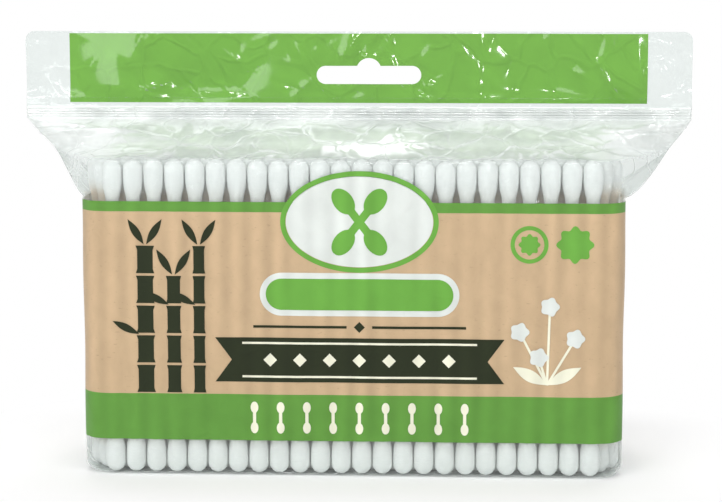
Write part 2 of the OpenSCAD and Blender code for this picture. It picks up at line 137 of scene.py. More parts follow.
class PouchSizes(PropertyGroup):
    """Outside of the film pouch, its zip and its header."""

    film_t: size("Film", "Thickness of the film", 0.15)
    front_play: size("Front play", "Air between the front row and the film", 0.12)
    side_play: size("Side play", "Air between the widest rows and the film", 0.35)
    foot_play: size("Foot play", "Air under the swabs", 0.1)
    head_play: size("Head play", "Height of the rounding above the centre of a bud's tip", 0.1)
    base_r: size("Base radius", "Radius of the bottom edge", 2.6)
    edge_r: size("Edge radius", "Radius where the front turns into the shoulder", 2.6)
    wing_w: size("Wing", "How far the film spreads past the swabs at the zip", 16.9)
    wing_drop: size("Wing drop", "From where the film starts to spread up to the tips", 9.2)
    shoulder_h: size("Shoulder", "Height from the swab tips to the zip", 7.8)
    fold_w: size("Side fold", "Width of the fold halfway up the shoulder", 22)
    zip_h: size("Zip", "Height of the zip and its welds", 2.46)
    zip_d: size("Zip half depth", "Half depth of the pouch at the zip", 1.18)
    head_step: size("Weld", "Height of the weld over the zip", 0.5)
    header_h: size("Header", "Height of the sealed header", 18.2)
    header_r: size("Header radius", "Radius of the header's top corners", 2.2)
    slot_w: size("Slot", "Width of the hang slot", 25.4)
    slot_h: size("Slot height", "Height of the hang slot's arms", 4.4)
    bump_w: size("Bump", "Width of the bump over the slot", 6.2)
    bump_h: size("Bump height", "Height of the bump above the arms", 1.9)
    slot_shift: size("Slot shift", "How far the slot sits right of the middle", 3)
    slot_rise: size("Slot rise", "From the foot of the header to the slot", 5.5)
    bud_dip: size("Dip between buds", "How far the film falls in between two buds", 0.26)
    label_dip: size("Dip in the label", "How far the label falls in between two swabs", 0.07)
    wave_h: size("Waves", "Height of the film's slow waves", 0.3)
    pleat_h: size("Pleats", "Height of the creases in the shoulder", 0.55)
    tuck_h: size("Tucks", "Height of the long creases beside the corners", 0.22)
    crumple_h: size("Crumple", "Height of the creases in the header", 0.5)
    header_wave: size("Header waves", "Height of the header's slow waves", 1.9)
    seal_h: size("Seal line", "Depth of the line that the weld leaves under the header print", 0.22)
    ridge_h: size("Zip ridges", "Height of the fine ridges along the zip", 0.07)
    ridge_pitch: size("Ridge pitch", "From one ridge of the zip to the next", 0.62)
    film: tint("Film tint", "Light that one layer of film lets through", "F3F6F5")


class PrintSizes(PropertyGroup):
    """Fields and figures printed on the front film."""

    label_z: size("Label foot", "Height of the lower band above the table", 8.5)
    band_h: size("Lower band", "Height of the lower band", 11.1)
    label_head: size("Label head", "Clear film over the label, below the wings", 0.8)
    stripe_h: size("Stripe", "Height of the narrow stripe over the brown field", 2.4)
    label_side: size("Label sides", "How far the label runs past the front corners", 16)
    header_side: size("Header sides", "Clear film left and right of the header print", 10.8)
    header_foot: size("Header foot", "Clear film below the header print", 0.9)
    header_head: size("Header head", "Clear film above the header print", 0.5)
    badge_gap: size("Badge gap", "From the top of the badge up to the buds' tips", 0.4)
    badge_w: size("Badge", "Width of the oval badge", 37)
    badge_share: share_of("Badge height", "Share of the room over the lower band", 0.45)
    badge_line: size("Badge line", "Width of the line round the badge", 1.2)
    plate_w: size("Nameplate", "Width of the blank nameplate", 44)
    plate_share: share_of("Nameplate height", "Share of the room over the lower band", 0.14)
    ribbon_w: size("Ribbon", "Width of the ribbon", 68)
    ribbon_share: share_of("Ribbon height", "Share of the room over the lower band", 0.2)
    ribbon_notch: size("Notch", "Depth of the notch in the ribbon's ends", 3.9)
    seal_d: size("Seals", "Diameter of the round seals", 8.8)
    ink_step: size("Ink step", "How far each layer of ink stands off the one below", 0.06)
    header_green: tint("Header green", "Printed header", "6AA538")
    kraft: tint("Kraft brown", "Printed brown field", "C4A987")
    band_green: tint("Band green", "Lower band and stripe", "60943F")
    white: tint("White", "Badge, halo and puffs", "D9DEDA")
    leaf_green: tint("Leaf green", "Badge line, nameplate and seals", "69A543")
    dark_green: tint("Dark green", "Ribbon, rule and canes", "242B17")
    cream: tint("Cream", "Light figures on the dark and green print", "E9E8D3")


class StudioSettings(PropertyGroup):
    """Camera and lamps."""

    azimuth: FloatProperty(
        name="Azimuth",
        description="Camera right of the pouch's front",
        default=math.radians(2.99),
        subtype="ANGLE",
    )
    elevation: FloatProperty(
        name="Elevation",
        description="Camera above the horizon",
        default=math.radians(7.41),
        subtype="ANGLE",
    )
    distance: size("Distance", "From the camera to its target", 520)
    aim_x: size("Target across", "How far right of the middle the camera looks", 1.06)
    aim_z: size("Target height", "Height of the point the camera looks at", 50.57)
    lens: FloatProperty(name="Lens", description="Focal length in mm for a 36 mm sensor", default=105.6)
    key: power("Key lamp", "Power of the main soft box, left of the pouch", 1.2)
    fill: power("Side lamps", "Power of each side strip", 0.7)
    top: power("Top lamp", "Power of the strip overhead", 3.0)
    back: power("Back lamp", "Power of the soft box behind the pouch", 4.0)
    front: power("Front lamp", "Power of the low soft box by the camera", 0.95)
    glint: power("Glint lamps", "Power of each small lamp that the creases catch", 0.6)
    sky: FloatProperty(name="Room light", description="Strength of the room's even light", default=0.33)


class BagSettings(PropertyGroup):
    """All sizes, colours and lamps of the pouch."""

    swabs: PointerProperty(type=SwabSizes)
    pouch: PointerProperty(type=PouchSizes)
    label: PointerProperty(type=PrintSizes)
    studio: PointerProperty(type=StudioSettings)


# Shape of the pouch


def ease(t):
    """Smooth step from 0 to 1: t squared times (3 - 2t), held at both ends."""
    held = np.clip(t, 0, 1)
    return held * held * (3 - 2 * held)


def measures(bag):
    """Lengths that follow from the sizes: the rows, the outside of the pouch and the places of the
    print."""
    s, p, q = bag.swabs, bag.pouch, bag.label
    m = SimpleNamespace(swabs=s, pouch=p, label=q)
    m.pitch = s.bud_d + s.side_gap
    m.row_pitch = math.sqrt((s.bud_d + s.nest_gap) ** 2 - (m.pitch / 2) ** 2)
    rows = np.arange(s.row_total)
    m.counts = np.minimum.reduce(
        [s.front_count + rows, s.widest_count - rows % 2, s.back_count + s.back_step * rows[::-1]]
    )
    m.row_y = (rows - (s.row_total - 1) / 2) * m.row_pitch
    first = (-(m.counts // 2) + 0.5 * (rows % 2 == 0)) * m.pitch
    last = first + (m.counts - 1) * m.pitch
    m.row_first = first
    reach = np.maximum(-first, last)
    m.half_w = reach.max() + s.bud_d / 2 + p.side_play + p.film_t
    m.half_d = -m.row_y[0] + s.bud_d / 2 + p.front_play + p.film_t
    m.front_corner = CORNER_SHARE * (m.half_w - reach[0])
    m.back_corner = CORNER_SHARE * (m.half_w - reach[-1])
    m.foot_z = p.film_t + p.foot_play
    m.tips_z = m.foot_z + s.length
    m.wing_z = m.tips_z - p.wing_drop
    m.edge_z = m.tips_z - s.bud_d / 2 + p.head_play
    m.zip_z = m.tips_z + p.shoulder_h
    m.zip_top = m.zip_z + p.zip_h
    m.head_z = m.zip_top + p.head_step
    m.top_z = m.head_z + p.header_h
    m.head_w = m.half_w + p.wing_w
    m.slot_z = m.head_z + p.slot_rise + p.slot_h / 2
    m.band_top = q.label_z + q.band_h
    m.label_top = m.wing_z - q.label_head
    m.stripe_z = m.label_top - q.stripe_h
    m.badge_top = m.edge_z - q.badge_gap
    room = m.badge_top - m.band_top
    m.badge_h = q.badge_share * room
    m.plate_h = q.plate_share * room
    m.ribbon_h = q.ribbon_share * room
    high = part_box("bag_film")[1]
    if max(abs(high.x - m.head_w), abs(high.z - m.top_z)) > 0.2 * MM:
        raise ValueError("the sizes of the pouch don't fit the packed frame")
    return m


def profile(m, z):
    """Half depth and base inset at height z: a quarter arc, an upright front, a second arc that turns in
    by 72 degrees, a straight shoulder up to the zip, and the weld that thins out to the header."""
    p = m.pouch
    low = np.sqrt(np.clip(1 - (1 - np.minimum(z, p.base_r) / p.base_r) ** 2, 0, 1))
    inset = p.base_r * (1 - low)
    turn_end = math.sin(SHOULDER_TURN)
    shoulder_z = m.edge_z + p.edge_r * turn_end
    up = np.clip((z - m.edge_z) / p.edge_r, 0, turn_end)
    d = m.half_d - inset - p.edge_r * (1 - np.sqrt(1 - up**2))
    along = np.clip((z - shoulder_z) / (m.zip_z - shoulder_z), 0, 1)
    d = d + (p.zip_d - d) * along
    thin = np.clip((z - m.zip_top) / p.head_step, 0, 1)
    return d + (p.film_t - d) * thin, inset


def crease_field(seed, count, low, high, tilt, length, width):
    """Seeded creases as rows of start, direction, length, width and height from -1 to 1."""
    rng = np.random.default_rng(seed)
    angle = math.pi / 2 + rng.uniform(-tilt, tilt, count)
    return np.column_stack(
        [
            rng.uniform(low[0], high[0], count),
            rng.uniform(low[1], high[1], count),
            np.cos(angle),
            np.sin(angle),
            rng.uniform(*length, count),
            rng.uniform(*width, count),
            rng.choice([-1, 1], count) * rng.uniform(0.35, 1, count),
        ]
    )


def creases(field, s, z):
    """Sum of creases. Each is a tent, falling off as exp(-across / width), with a cosine-squared window
    along its length."""
    total = np.zeros(np.broadcast(s, z).shape)
    for s0, z0, along_s, along_z, length, width, height in field:
        along = (s - s0) * along_s + (z - z0) * along_z
        across = (z - z0) * along_s - (s - s0) * along_z
        window = np.cos(np.clip(along / length, -0.5, 0.5) * np.pi) ** 2
        total += height * window * np.exp(-np.abs(across) / width)
    return total


def waves(seed, s, z, spans):
    """Slow waves from -1 to 1: the mean of five sines with seeded directions and lengths."""
    rng = np.random.default_rng(seed)
    total = 0
    for _ in range(5):
        span = rng.uniform(*spans)
        angle = rng.uniform(-0.9, 0.9)
        shift = rng.uniform(0, 2 * np.pi)
        total = total + np.sin(2 * np.pi * (s * np.cos(angle) + z * np.sin(angle)) / span + shift)
    return total / 5


def swab_dips(m, s, z, shift):
    """Dip of the film between neighbouring swabs: half of 1 + cos over the pitch, deep beside the buds and
    shallow between them, none at the base and on the shoulder."""
    p, s_bud = m.pouch, m.swabs.bud_l
    near = ease((s_bud + 3 * MM - z) / (4 * MM)) + ease((z - m.tips_z + s_bud + 3 * MM) / (4 * MM))
    depth = p.label_dip + (p.bud_dip - p.label_dip) * near
    shown = ease((z - 0.5 * MM) / (3 * MM)) * (1 - ease((z - m.edge_z) / (4 * MM)))
    return depth * shown * (0.5 + 0.5 * np.cos(2 * np.pi * (s + shift) / m.pitch))


def slack(m, z):
    """How freely the film creases at height z: 0 at the base and at the zip, and 1 between them."""
    return ease(z / (5 * MM)) * (1 - ease((z - m.zip_z + 1.2 * MM) / (1.2 * MM)))


def face_lift(m, s, z, seed, shift):
    """Lift of the front or back film: slow waves, long tucks beside the corners and short creases on the
    shoulder, less the dips between swabs."""
    p = m.pouch
    low, high = (-m.head_w, m.tips_z - MM), (m.head_w, m.zip_z)
    pleats = crease_field(seed, 64, low, high, 0.75, (5 * MM, 13 * MM), (0.6 * MM, 1.7 * MM))
    on_shoulder = ease((z - m.tips_z + 4 * MM) / (4 * MM))
    wave = p.wave_h * waves(seed + 1, s, z, (16 * MM, 48 * MM))
    low, high = (m.half_w - 12 * MM, 10 * MM), (m.half_w, m.wing_z)
    tucks = crease_field(seed + 2, 7, low, high, 0.2, (20 * MM, 42 * MM), (0.5 * MM, 1.1 * MM))
    # The tucks on the left are those on the right, 3 mm nearer the middle
    tuck = p.tuck_h * creases(tucks, np.abs(s) + 3 * MM * (s < 0), z)
    pleat = p.pleat_h * on_shoulder * creases(pleats, s, z)
    return slack(m, z) * (wave + tuck + pleat) - swab_dips(m, s, z, shift)


def film_lift(m, s, y, z, across, deep):
    """Lift of the film along its normal at arc length s from the middle of the front or back. The faces
    and the sides fade into each other with the normal's share across and in depth."""
    level = np.hypot(across, deep) + 1e-12
    side = slack(m, z) * m.pouch.wave_h * waves(31, y, z, (14 * MM, 40 * MM))
    front = face_lift(m, s, z, 11, 0)
    back = face_lift(m, s, z, 21, m.pitch / 2)
    return (
        front * np.clip(-deep / level, 0, 1)
        + back * np.clip(deep / level, 0, 1)
        + side * (across / level) ** 2
    )


def header_lift(m, x, z):
    """Crumple of the flat header: slow waves and creases, still at the weld over the zip, less the line
    of the seal, a bell curve 2.1 mm up."""
    p = m.pouch
    low, high = (-m.head_w, m.head_z), (m.head_w, m.top_z)
    field = crease_field(5, 110, low, high, 1.25, (6 * MM, 24 * MM), (0.4 * MM, 1.4 * MM))
    loose = ease((z - m.head_z) / (5 * MM))
    seal = p.seal_h * np.exp(-(((z - m.head_z - 2.1 * MM) / (0.5 * MM)) ** 2))
    slow = p.header_wave * waves(7, x, z, (26 * MM, 80 * MM))
    return loose * (slow + p.crumple_h * creases(field, x, z)) - seal


def corner(w, d, run, side, bow, turn):
    """Quarter turn from a face to the side: across w - run(1 - sin a) and in depth side + (d - side)
    times cos(a) to the power of bow, for a from 0 on the face to 90 degrees at the side."""
    return w - run * (1 - np.sin(turn)), side + (d - side) * np.cos(turn) ** bow


def pouch_quarter(m, z, d, inset, right, front, turn):
    """Corner of the film between the front or back and one side: its points, its arc length, the end of
    the flat face and half the depth of the side. It is an arc beside the swabs and draws out to a thin
    fold where the wings spread."""
    p = m.pouch
    rise = np.clip((z - m.wing_z) / (m.zip_z - m.wing_z), 0, 1)
    climb = np.clip((z - m.tips_z) / (m.zip_z - m.tips_z), 0, 1)
    keep = 1 - ease(1.5 * rise)
    hollow = 2.5 * ease(1.6 * rise) * (1 - climb)
    # The right wing spreads sooner than the left, and the back is drawn in less than the front
    w = m.half_w + p.wing_w * rise ** (0.75 if right else 1)
    radius = m.front_corner if front else m.back_corner
    bow = 1 + hollow * (1 if front else 0.4)
    fold = p.fold_w * (1 if front else 0.6)
    beside = radius + w - m.half_w
    run = beside + (1.1 * MM - beside) * ease(climb) + 4 * fold * climb * (1 - climb) - inset
    edge = 0.7 * p.film_t
    side = np.minimum(edge + (m.half_d - radius - edge) * keep, 0.9 * d)
    x, y = corner(w - inset, d, run, side, bow, turn)
    flat = w - inset - run
    return x, y, flat + radius * turn, flat, side


def pouch_grid(m, z):
    """Rings of the film at heights z, anticlockwise from the left end of the front: points before the
    lift, and the arc length from the middle of the front or back."""
    z = z[:, None]
    d, inset = profile(m, z)
    turn = np.linspace(0, np.pi / 2, CORNER_STEPS + 1)[None, :]
    part = {}
    for right in (True, False):
        for front in (True, False):
            part[right, front] = pouch_quarter(m, z, d, inset, right, front, turn)
    xs, ys, ss = [], [], []
    for front in (True, False):
        sign = 1 if front else -1
        near, far = part[not front, front], part[front, front]
        t = np.linspace(0, 1, FACE_STEPS + 1)[None, 0 if front else 1 :]
        x = sign * (-near[3] + (near[3] + far[3]) * t)
        xs.append(x)
        ys.append(-sign * d + 0 * x)
        ss.append(x)
        xs.append(sign * far[0][:, 1:])
        ys.append(-sign * far[1][:, 1:])
        ss.append(sign * far[2][:, 1:])
        other = part[front, not front]
        t = np.linspace(0, 1, SIDE_STEPS + 1)[None, 1:]
        y = -sign * (far[4] - (far[4] + other[4]) * t)
        xs.append(sign * far[0][:, -1:] + 0 * y)
        ys.append(y)
        ss.append(sign * (far[2][:, -1:] + far[4] + sign * y))
        back = slice(-2, None, -1) if front else slice(-2, 0, -1)
        xs.append(sign * other[0][:, back])
        ys.append(sign * other[1][:, back])
        ss.append(sign * other[2][:, back])
    x, y, s = np.hstack(xs), np.hstack(ys), np.hstack(ss)
    return x, y, z + 0 * x, s


def grid_normals(points):
    """Unit normals of a grid of rings that close on themselves: the cross of the step along the ring and
    the step up."""
    along = np.roll(points, -1, 1) - np.roll(points, 1, 1)
    up = np.gradient(points, axis=0)
    normal = np.cross(along, up)
    return normal / (np.linalg.norm(normal, axis=2, keepdims=True) + 1e-15)


def pouch_mesh(m):
    """Closed film from the base to the header: the rings lifted along their normals, with fine ridges
    along the zip, and both ends closed by rungs from the front to the back. The rings stand closest on
    the two arcs and the shoulder."""
    p = m.pouch
    arc = p.base_r * (1 - np.cos(np.linspace(0, np.pi / 2, 9)))
    turn = m.edge_z + p.edge_r * np.sin(np.linspace(0, SHOULDER_TURN, 9))
    z = np.concatenate(
        [
            arc[:-1],
            np.linspace(p.base_r, m.wing_z, 42)[:-1],
            np.linspace(m.wing_z, m.edge_z, 12)[:-1],
            turn[:-1],
            np.linspace(turn[-1], m.zip_z, 34)[:-1],
            np.linspace(m.zip_z, m.zip_top, 26),
            [m.head_z],
        ]
    )
    x, y, z, s = pouch_grid(m, z)
    points = np.stack([x, y, z], 2)
    normal = grid_normals(points)
    lift = film_lift(m, s, y, z, normal[..., 0], normal[..., 1])
    in_zip = (z > m.zip_z) & (z < m.zip_top)
    ridges = p.ridge_h * np.cos(2 * np.pi * (z - m.zip_z) / p.ridge_pitch)
    lift = np.where(in_zip, ridges, lift)
    lift[-1] = 0
    points = points + normal * lift[..., None]
    points[..., 2] = np.maximum(points[..., 2], 0)
    rings, columns = s.shape
    index = np.arange(rings * columns).reshape(rings, columns)
    right = np.roll(index, -1, 1)
    quads = np.stack([index[:-1], right[:-1], right[1:], index[1:]], 2).reshape(-1, 4)
    # The rungs start at the middle of the left side and end at the middle of the right
    seam = CORNER_STEPS + SIDE_STEPS // 2
    ladder = (np.arange(columns // 2 + 1) - seam) % columns
    partner = (-2 * seam - ladder) % columns
    rungs = np.stack([ladder[:-1], ladder[1:], partner[1:], partner[:-1]], 1)
    foot = rungs[:, ::-1]
    head = rungs + index[-1, 0]
    faces = quads.tolist()
    for row in np.vstack([foot, head]).tolist():
        faces.append(list(dict.fromkeys(row)))
    return points.reshape(-1, 3), faces


# Outlines of the print, as loops of points across and up


def loop_oval(w, h, steps=96):
    """Ellipse: w/2 cos a across and h/2 sin a up."""
    a = np.linspace(0, 2 * np.pi, steps, endpoint=False)
    return np.column_stack([w / 2 * np.cos(a), h / 2 * np.sin(a)])


def loop_pill(w, h):
    """Rectangle with half-round ends."""
    a = np.linspace(-np.pi / 2, np.pi / 2, 25)
    right = np.column_stack([(w - h) / 2 + h / 2 * np.cos(a), h / 2 * np.sin(a)])
    return np.vstack([right, -right])


def loop_box(w, h):
    """Rectangle round the origin."""
    return np.array([[-w, -h], [w, -h], [w, h], [-w, h]]) / 2


def loop_diamond(w):
    """Square stood on its corner."""
    return np.array([[-w, 0], [0, -w], [w, 0], [0, w]]) / 2


def loop_leaf(length, w):
    """Leaf from its stalk at the origin: half width w/2 sin(pi t) along its length."""
    t = np.linspace(0, 1, 17)
    side = w / 2 * np.sin(np.pi * t)
    top = np.column_stack([length * t, side])
    return np.vstack([top, (top * [1, -1])[-2:0:-1]])


def loop_rosette(d, lobes):
    """Circle whose radius swings by a tenth over each lobe."""
    a = np.linspace(0, 2 * np.pi, 120, endpoint=False)
    r = d / 2 * (0.9 + 0.1 * np.cos(lobes * a))
    return np.column_stack([r * np.cos(a), r * np.sin(a)])


def loop_swab(length):
    """Upright swab: half width the larger of the stick and of an ellipse round each bud, as shares of the
    length."""
    bud_at, bud_reach, bud_half, stick_half = 0.36, 0.2, 0.135, 0.055
    u = np.concatenate([np.cos(np.linspace(0, np.pi, 21)) * bud_reach + bud_at, [0.1, 0]])
    bud = bud_half * np.sqrt(np.clip(1 - ((u - bud_at) / bud_reach) ** 2, 0, 1))
    half = np.where(u < 0.5, np.maximum(bud, stick_half), bud)
    top = np.column_stack([half, u])[1:-1] * length
    right = np.vstack([top * [1, -1], top[::-1]])
    left = (right * [-1, 1])[::-1]
    return np.vstack([right, left])


def loop_cane(w, joint):
    """One joint of a cane, narrower between its ends."""
    waist, end, rise = 0.42 * w, 0.3 * MM, 1.3 * MM
    side = np.array([[w / 2, end], [waist, rise], [waist, joint - rise], [w / 2, joint - end]])
    return np.vstack([side, (side * [-1, 1])[::-1]])


def placed(loop, x, z, degrees=0.0):
    """Loop turned about the origin, then moved."""
    a = math.radians(degrees)
    turn = np.array([[math.cos(a), math.sin(a)], [-math.sin(a), math.cos(a)]])
    return loop @ turn + [x, z]


def dense(loop, step):
    """Loop with points added so that none of its edges is longer than a step."""
    after = np.roll(loop, -1, 0)
    counts = np.maximum(np.ceil(np.linalg.norm(after - loop, axis=1) / step).astype(int), 1)
    rows = np.repeat(np.arange(len(loop)), counts)
    starts = np.repeat(np.cumsum(counts) - counts, counts)
    t = (np.arange(len(rows)) - starts) / np.repeat(counts, counts)
    return loop[rows] + (after - loop)[rows] * t[:, None]


def within(points, a, b):
    """Whether points lie inside the edges from a to b: an odd number of them crosses the ray to the
    right."""
    x, z = points[:, None, 0], points[:, None, 1]
    rising = (a[:, 1] > z) != (b[:, 1] > z)
    run = np.where(a[:, 1] == b[:, 1], 1, b[:, 1] - a[:, 1])
    cut = a[:, 0] + (z - a[:, 1]) * (b[:, 0] - a[:, 0]) / run
    return (rising & (x < cut)).sum(1) % 2 == 1


def filled(loops, step):
    """Triangles inside closed loops, with holes left open and a grid of inner points a step apart."""
    loops = [dense(loop, step) for loop in loops]
    edges, starts, ends, base = [], [], [], 0
    for loop in loops:
        index = np.arange(len(loop)) + base
        edges += np.column_stack([index, np.roll(index, -1)]).tolist()
        starts.append(loop)
        ends.append(np.roll(loop, -1, 0))
        base += len(loop)
    a, b = np.vstack(starts), np.vstack(ends)
    low, high = a.min(0) + step / 2, a.max(0) - step / 2
    across = np.arange(low[0], high[0], step)
    up = np.arange(low[1], high[1], step)
    inner = np.stack(np.meshgrid(across, up), -1).reshape(-1, 2)
    p = inner[:, None, :]
    span = b - a
    share = np.clip(((p - a) * span).sum(2) / (span**2).sum(1), 0, 1)
    away = np.linalg.norm(p - a - share[..., None] * span, axis=2).min(1, initial=1)
    inner = inner[within(inner, a, b) & (away > 0.45 * step)]
    flat = [Vector(v) for v in np.vstack([a, inner]).tolist()]
    verts, _, tris, *_ = delaunay_2d_cdt(flat, edges, [], 1, 1e-8)
    verts, tris = np.array([v[:] for v in verts]), np.array(tris)
    return verts, tris[within(verts[tris].mean(1), a, b)]


def shell(m, points, tris, surface, outer, inner):
    """Thin closed plate: the flat triangles carried onto a surface at two distances, with a rim between."""
    near, far = surface(m, points, outer), surface(m, points, inner)
    n = len(points)
    sides = np.vstack([tris[:, [0, 1]], tris[:, [1, 2]], tris[:, [2, 0]]])
    key = np.sort(sides, 1)
    _, where, counts = np.unique(key, axis=0, return_index=True, return_counts=True)
    rim = sides[where[counts == 1]]
    faces = tris.tolist() + (tris[:, ::-1] + n).tolist()
    faces += np.column_stack([rim[:, ::-1], rim + n]).tolist()
    return np.vstack([near, far]), faces


def joined(parts):
    """Several (points, faces) pairs as one pair."""
    points, faces, base = [], [], 0
    for part_points, part_faces in parts:
        points.append(part_points)
        faces += [[i + base for i in face] for face in part_faces]
        base += len(part_points)
    return np.vstack(points), faces


def on_label(m, points, off):
    """Points of the printed front at arc length s from its middle: straight to the corner, a quarter arc
    round it and straight along the side, stood off by the film's lift and by off."""
    s, z = points[:, 0], points[:, 1]
    flat = m.half_w - m.front_corner
    turn = np.clip((np.abs(s) - flat) / m.front_corner, 0, np.pi / 2)
    past = np.clip(np.abs(s) - flat - np.pi / 2 * m.front_corner, 0, None)
    across, deep = np.sign(s) * np.sin(turn), -np.cos(turn)
    x = np.sign(s) * (np.minimum(np.abs(s), flat) + m.front_corner * np.sin(turn))
    y = -m.half_d + m.front_corner * (1 + deep) + past
    lift = film_lift(m, s, y, z, across, deep) + off
    return np.column_stack([x + across * lift, y + deep * lift, z])


def on_header(m, points, off):
    """Points of the header, off in front of its middle plane, following its crumple."""
    x, z = points[:, 0], points[:, 1]
    return np.column_stack([x, -off + header_lift(m, x, z), z])


def label_strip(m, low, high):
    """Field of ink round the front between two heights, as a closed plate."""
    reach = m.half_w - m.front_corner + np.pi / 2 * m.front_corner + m.label.label_side
    s = np.linspace(-reach, reach, FIELD_COLUMNS)
    z = np.linspace(low, high, max(2, int((high - low) / FIELD_MESH) + 1))
    points = np.stack(np.meshgrid(s, z), -1).reshape(-1, 2)
    index = np.arange(len(points)).reshape(len(z), len(s))
    a, b, c, d = index[:-1, :-1], index[:-1, 1:], index[1:, 1:], index[1:, :-1]
    tris = np.vstack([np.stack([a, b, c], 2).reshape(-1, 3), np.stack([a, c, d], 2).reshape(-1, 3)])
    step = m.label.ink_step
    return shell(m, points, tris, on_label, step, step / 2)


def figures(m, shapes):
    """Printed figures, each a list of loops and a layer, as closed plates on the front film."""
    step = m.label.ink_step
    parts = []
    for count, (loops, layer) in enumerate(shapes):
        points, tris = filled(loops, FIGURE_MESH)
        outer = step * layer + FIGURE_STEP * count
        parts.append(shell(m, points, tris, on_label, outer, outer - step / 2))
    return joined(parts)


# Meshes


def make_piece(name, points, faces, material, slot, *replaced, merge=True, sharp=None):
    """Mesh object in its place, riding on the pouch's body and standing for CAD nodes. Doubles are merged
    and the faces are turned outwards."""
    mesh = bpy.data.meshes.new(name)
    mesh.from_pydata(points.tolist(), [], faces)
    form = bmesh.new()
    form.from_mesh(mesh)
    if merge:
        bmesh.ops.remove_doubles(form, verts=form.verts, dist=1e-7)
    bmesh.ops.recalc_face_normals(form, faces=form.faces)
    form.to_mesh(mesh)
    form.free()
    mesh.shade_smooth()
    if sharp:
        mesh.set_sharp_from_angle(angle=math.radians(sharp))
    made = bpy.data.objects.new(name, mesh)
    bpy.context.scene.collection.objects.link(made)
    made.data.materials.append(material)
    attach(made, BODY)
    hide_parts(*replaced)
    return made


def lathed(places, heights, radii):
    """Turned solids, one a place: rings of the given radii at the given heights, closed by a point at each
    end. Heights are swabs x rings and radii swabs x rings x sides."""
    swabs, rings, sides = radii.shape
    a = np.linspace(0, 2 * np.pi, sides, endpoint=False)
    ring = np.empty((swabs, rings, sides, 3))
    ring[..., 0] = places[:, None, None, 0] + radii * np.cos(a)
    ring[..., 1] = places[:, None, None, 1] + radii * np.sin(a)
    ring[..., 2] = (places[:, None, 2] + heights)[..., None]
    ends = ring[:, [0, -1]].mean(2)
    points = np.concatenate([ring.reshape(swabs, -1, 3), ends], 1)
    index = np.arange(rings * sides).reshape(rings, sides)
    beside = np.roll(index, -1, 1)
    quads = np.stack([index[:-1], beside[:-1], beside[1:], index[1:]], 2).reshape(-1, 4)
    low, high = rings * sides, rings * sides + 1
    foot = np.column_stack([beside[0], index[0], np.full(sides, low)])
    head = np.column_stack([index[-1], beside[-1], np.full(sides, high)])
    base = (np.arange(swabs) * (high + 1))[:, None, None]
    faces = (quads[None] + base).reshape(-1, 4).tolist()
    faces += (np.vstack([foot, head])[None] + base).reshape(-1, 3).tolist()
    return points.reshape(-1, 3), faces


def swab_places(m):
    """Foot of each swab, row by row, and how far its tip stands below the highest."""
    s = m.swabs
    rng = np.random.default_rng(3)
    places = []
    for k, count in enumerate(m.counts):
        x = m.row_first[k] + np.arange(count) * m.pitch
        places.append(np.column_stack([x, np.full(count, m.row_y[k]), np.full(count, m.foot_z)]))
    places = np.vstack(places)
    short = s.uneven * rng.beta(1.3, 2.2, len(places))
    return places, short


# Materials


def add(tree, kind, inputs=None, **settings):
    """Adds a node with its settings. Each input is a value or a socket to link, by name or number."""
    made = tree.nodes.new(kind)
    for name, value in settings.items():
        setattr(made, name, value)
    for name, value in (inputs or {}).items():
        if isinstance(value, bpy.types.NodeSocket):
            tree.links.new(value, made.inputs[name])
        else:
            made.inputs[name].default_value = value
    return made


def start_material(name):
    """Empty node material, its tree and its Object coordinates."""
    material = bpy.data.materials.new(name)
    material.use_nodes = True
    tree = material.node_tree
    tree.nodes.clear()
    coords = add(tree, "ShaderNodeTexCoord").outputs["Object"]
    return material, tree, coords


def end_material(tree, shader):
    """Links the last shader to the material's output."""
    add(tree, "ShaderNodeOutputMaterial", {"Surface": shader})


def steps(x, y, z):
    """Scale that counts coordinates in steps of x, y and z millimetres."""
    return 1 / (x * MM), 1 / (y * MM), 1 / (z * MM)


def film_relief(tree, coords, strength):
    """Normal of thin film: creases along the borders of 9 mm cells that soft noise bends, over fine
    ripples. Real film ripples more finely still, and 2.5 mm is the shortest that shows in the render."""
    wide = add(tree, "ShaderNodeMapping", {"Vector": coords, "Scale": steps(14, 14, 14)}).outputs[0]
    bend = add(tree, "ShaderNodeTexNoise", {"Vector": wide, "Scale": 1.0, "Detail": 2.0}).outputs["Color"]
    reach = (12 * MM, 12 * MM, 12 * MM)
    warped = add(
        tree, "ShaderNodeVectorMath", {0: bend, 1: reach, 2: coords}, operation="MULTIPLY_ADD"
    ).outputs[0]
    folds = add(tree, "ShaderNodeMapping", {"Vector": warped, "Scale": steps(9, 9, 9)}).outputs[0]
    border = add(
        tree, "ShaderNodeTexVoronoi", {"Vector": folds, "Scale": 1.0}, feature="DISTANCE_TO_EDGE"
    ).outputs["Distance"]
    crest = add(
        tree,
        "ShaderNodeMapRange",
        {"Value": border, "From Min": 0.0, "From Max": 0.1, "To Min": 1.0, "To Max": 0.0},
        interpolation_type="SMOOTHSTEP",
    ).outputs["Result"]
    fine = add(tree, "ShaderNodeMapping", {"Vector": coords, "Scale": steps(2.5, 2.5, 3.5)}).outputs[0]
    ripple = add(tree, "ShaderNodeTexNoise", {"Vector": fine, "Scale": 1.0, "Detail": 3.0}).outputs["Fac"]
    height = add(
        tree, "ShaderNodeMath", {0: ripple, 1: 0.35, 2: crest}, operation="MULTIPLY_ADD"
    ).outputs[0]
    return add(
        tree, "ShaderNodeBump", {"Strength": strength, "Distance": 0.15 * MM, "Height": height}
    ).outputs["Normal"]


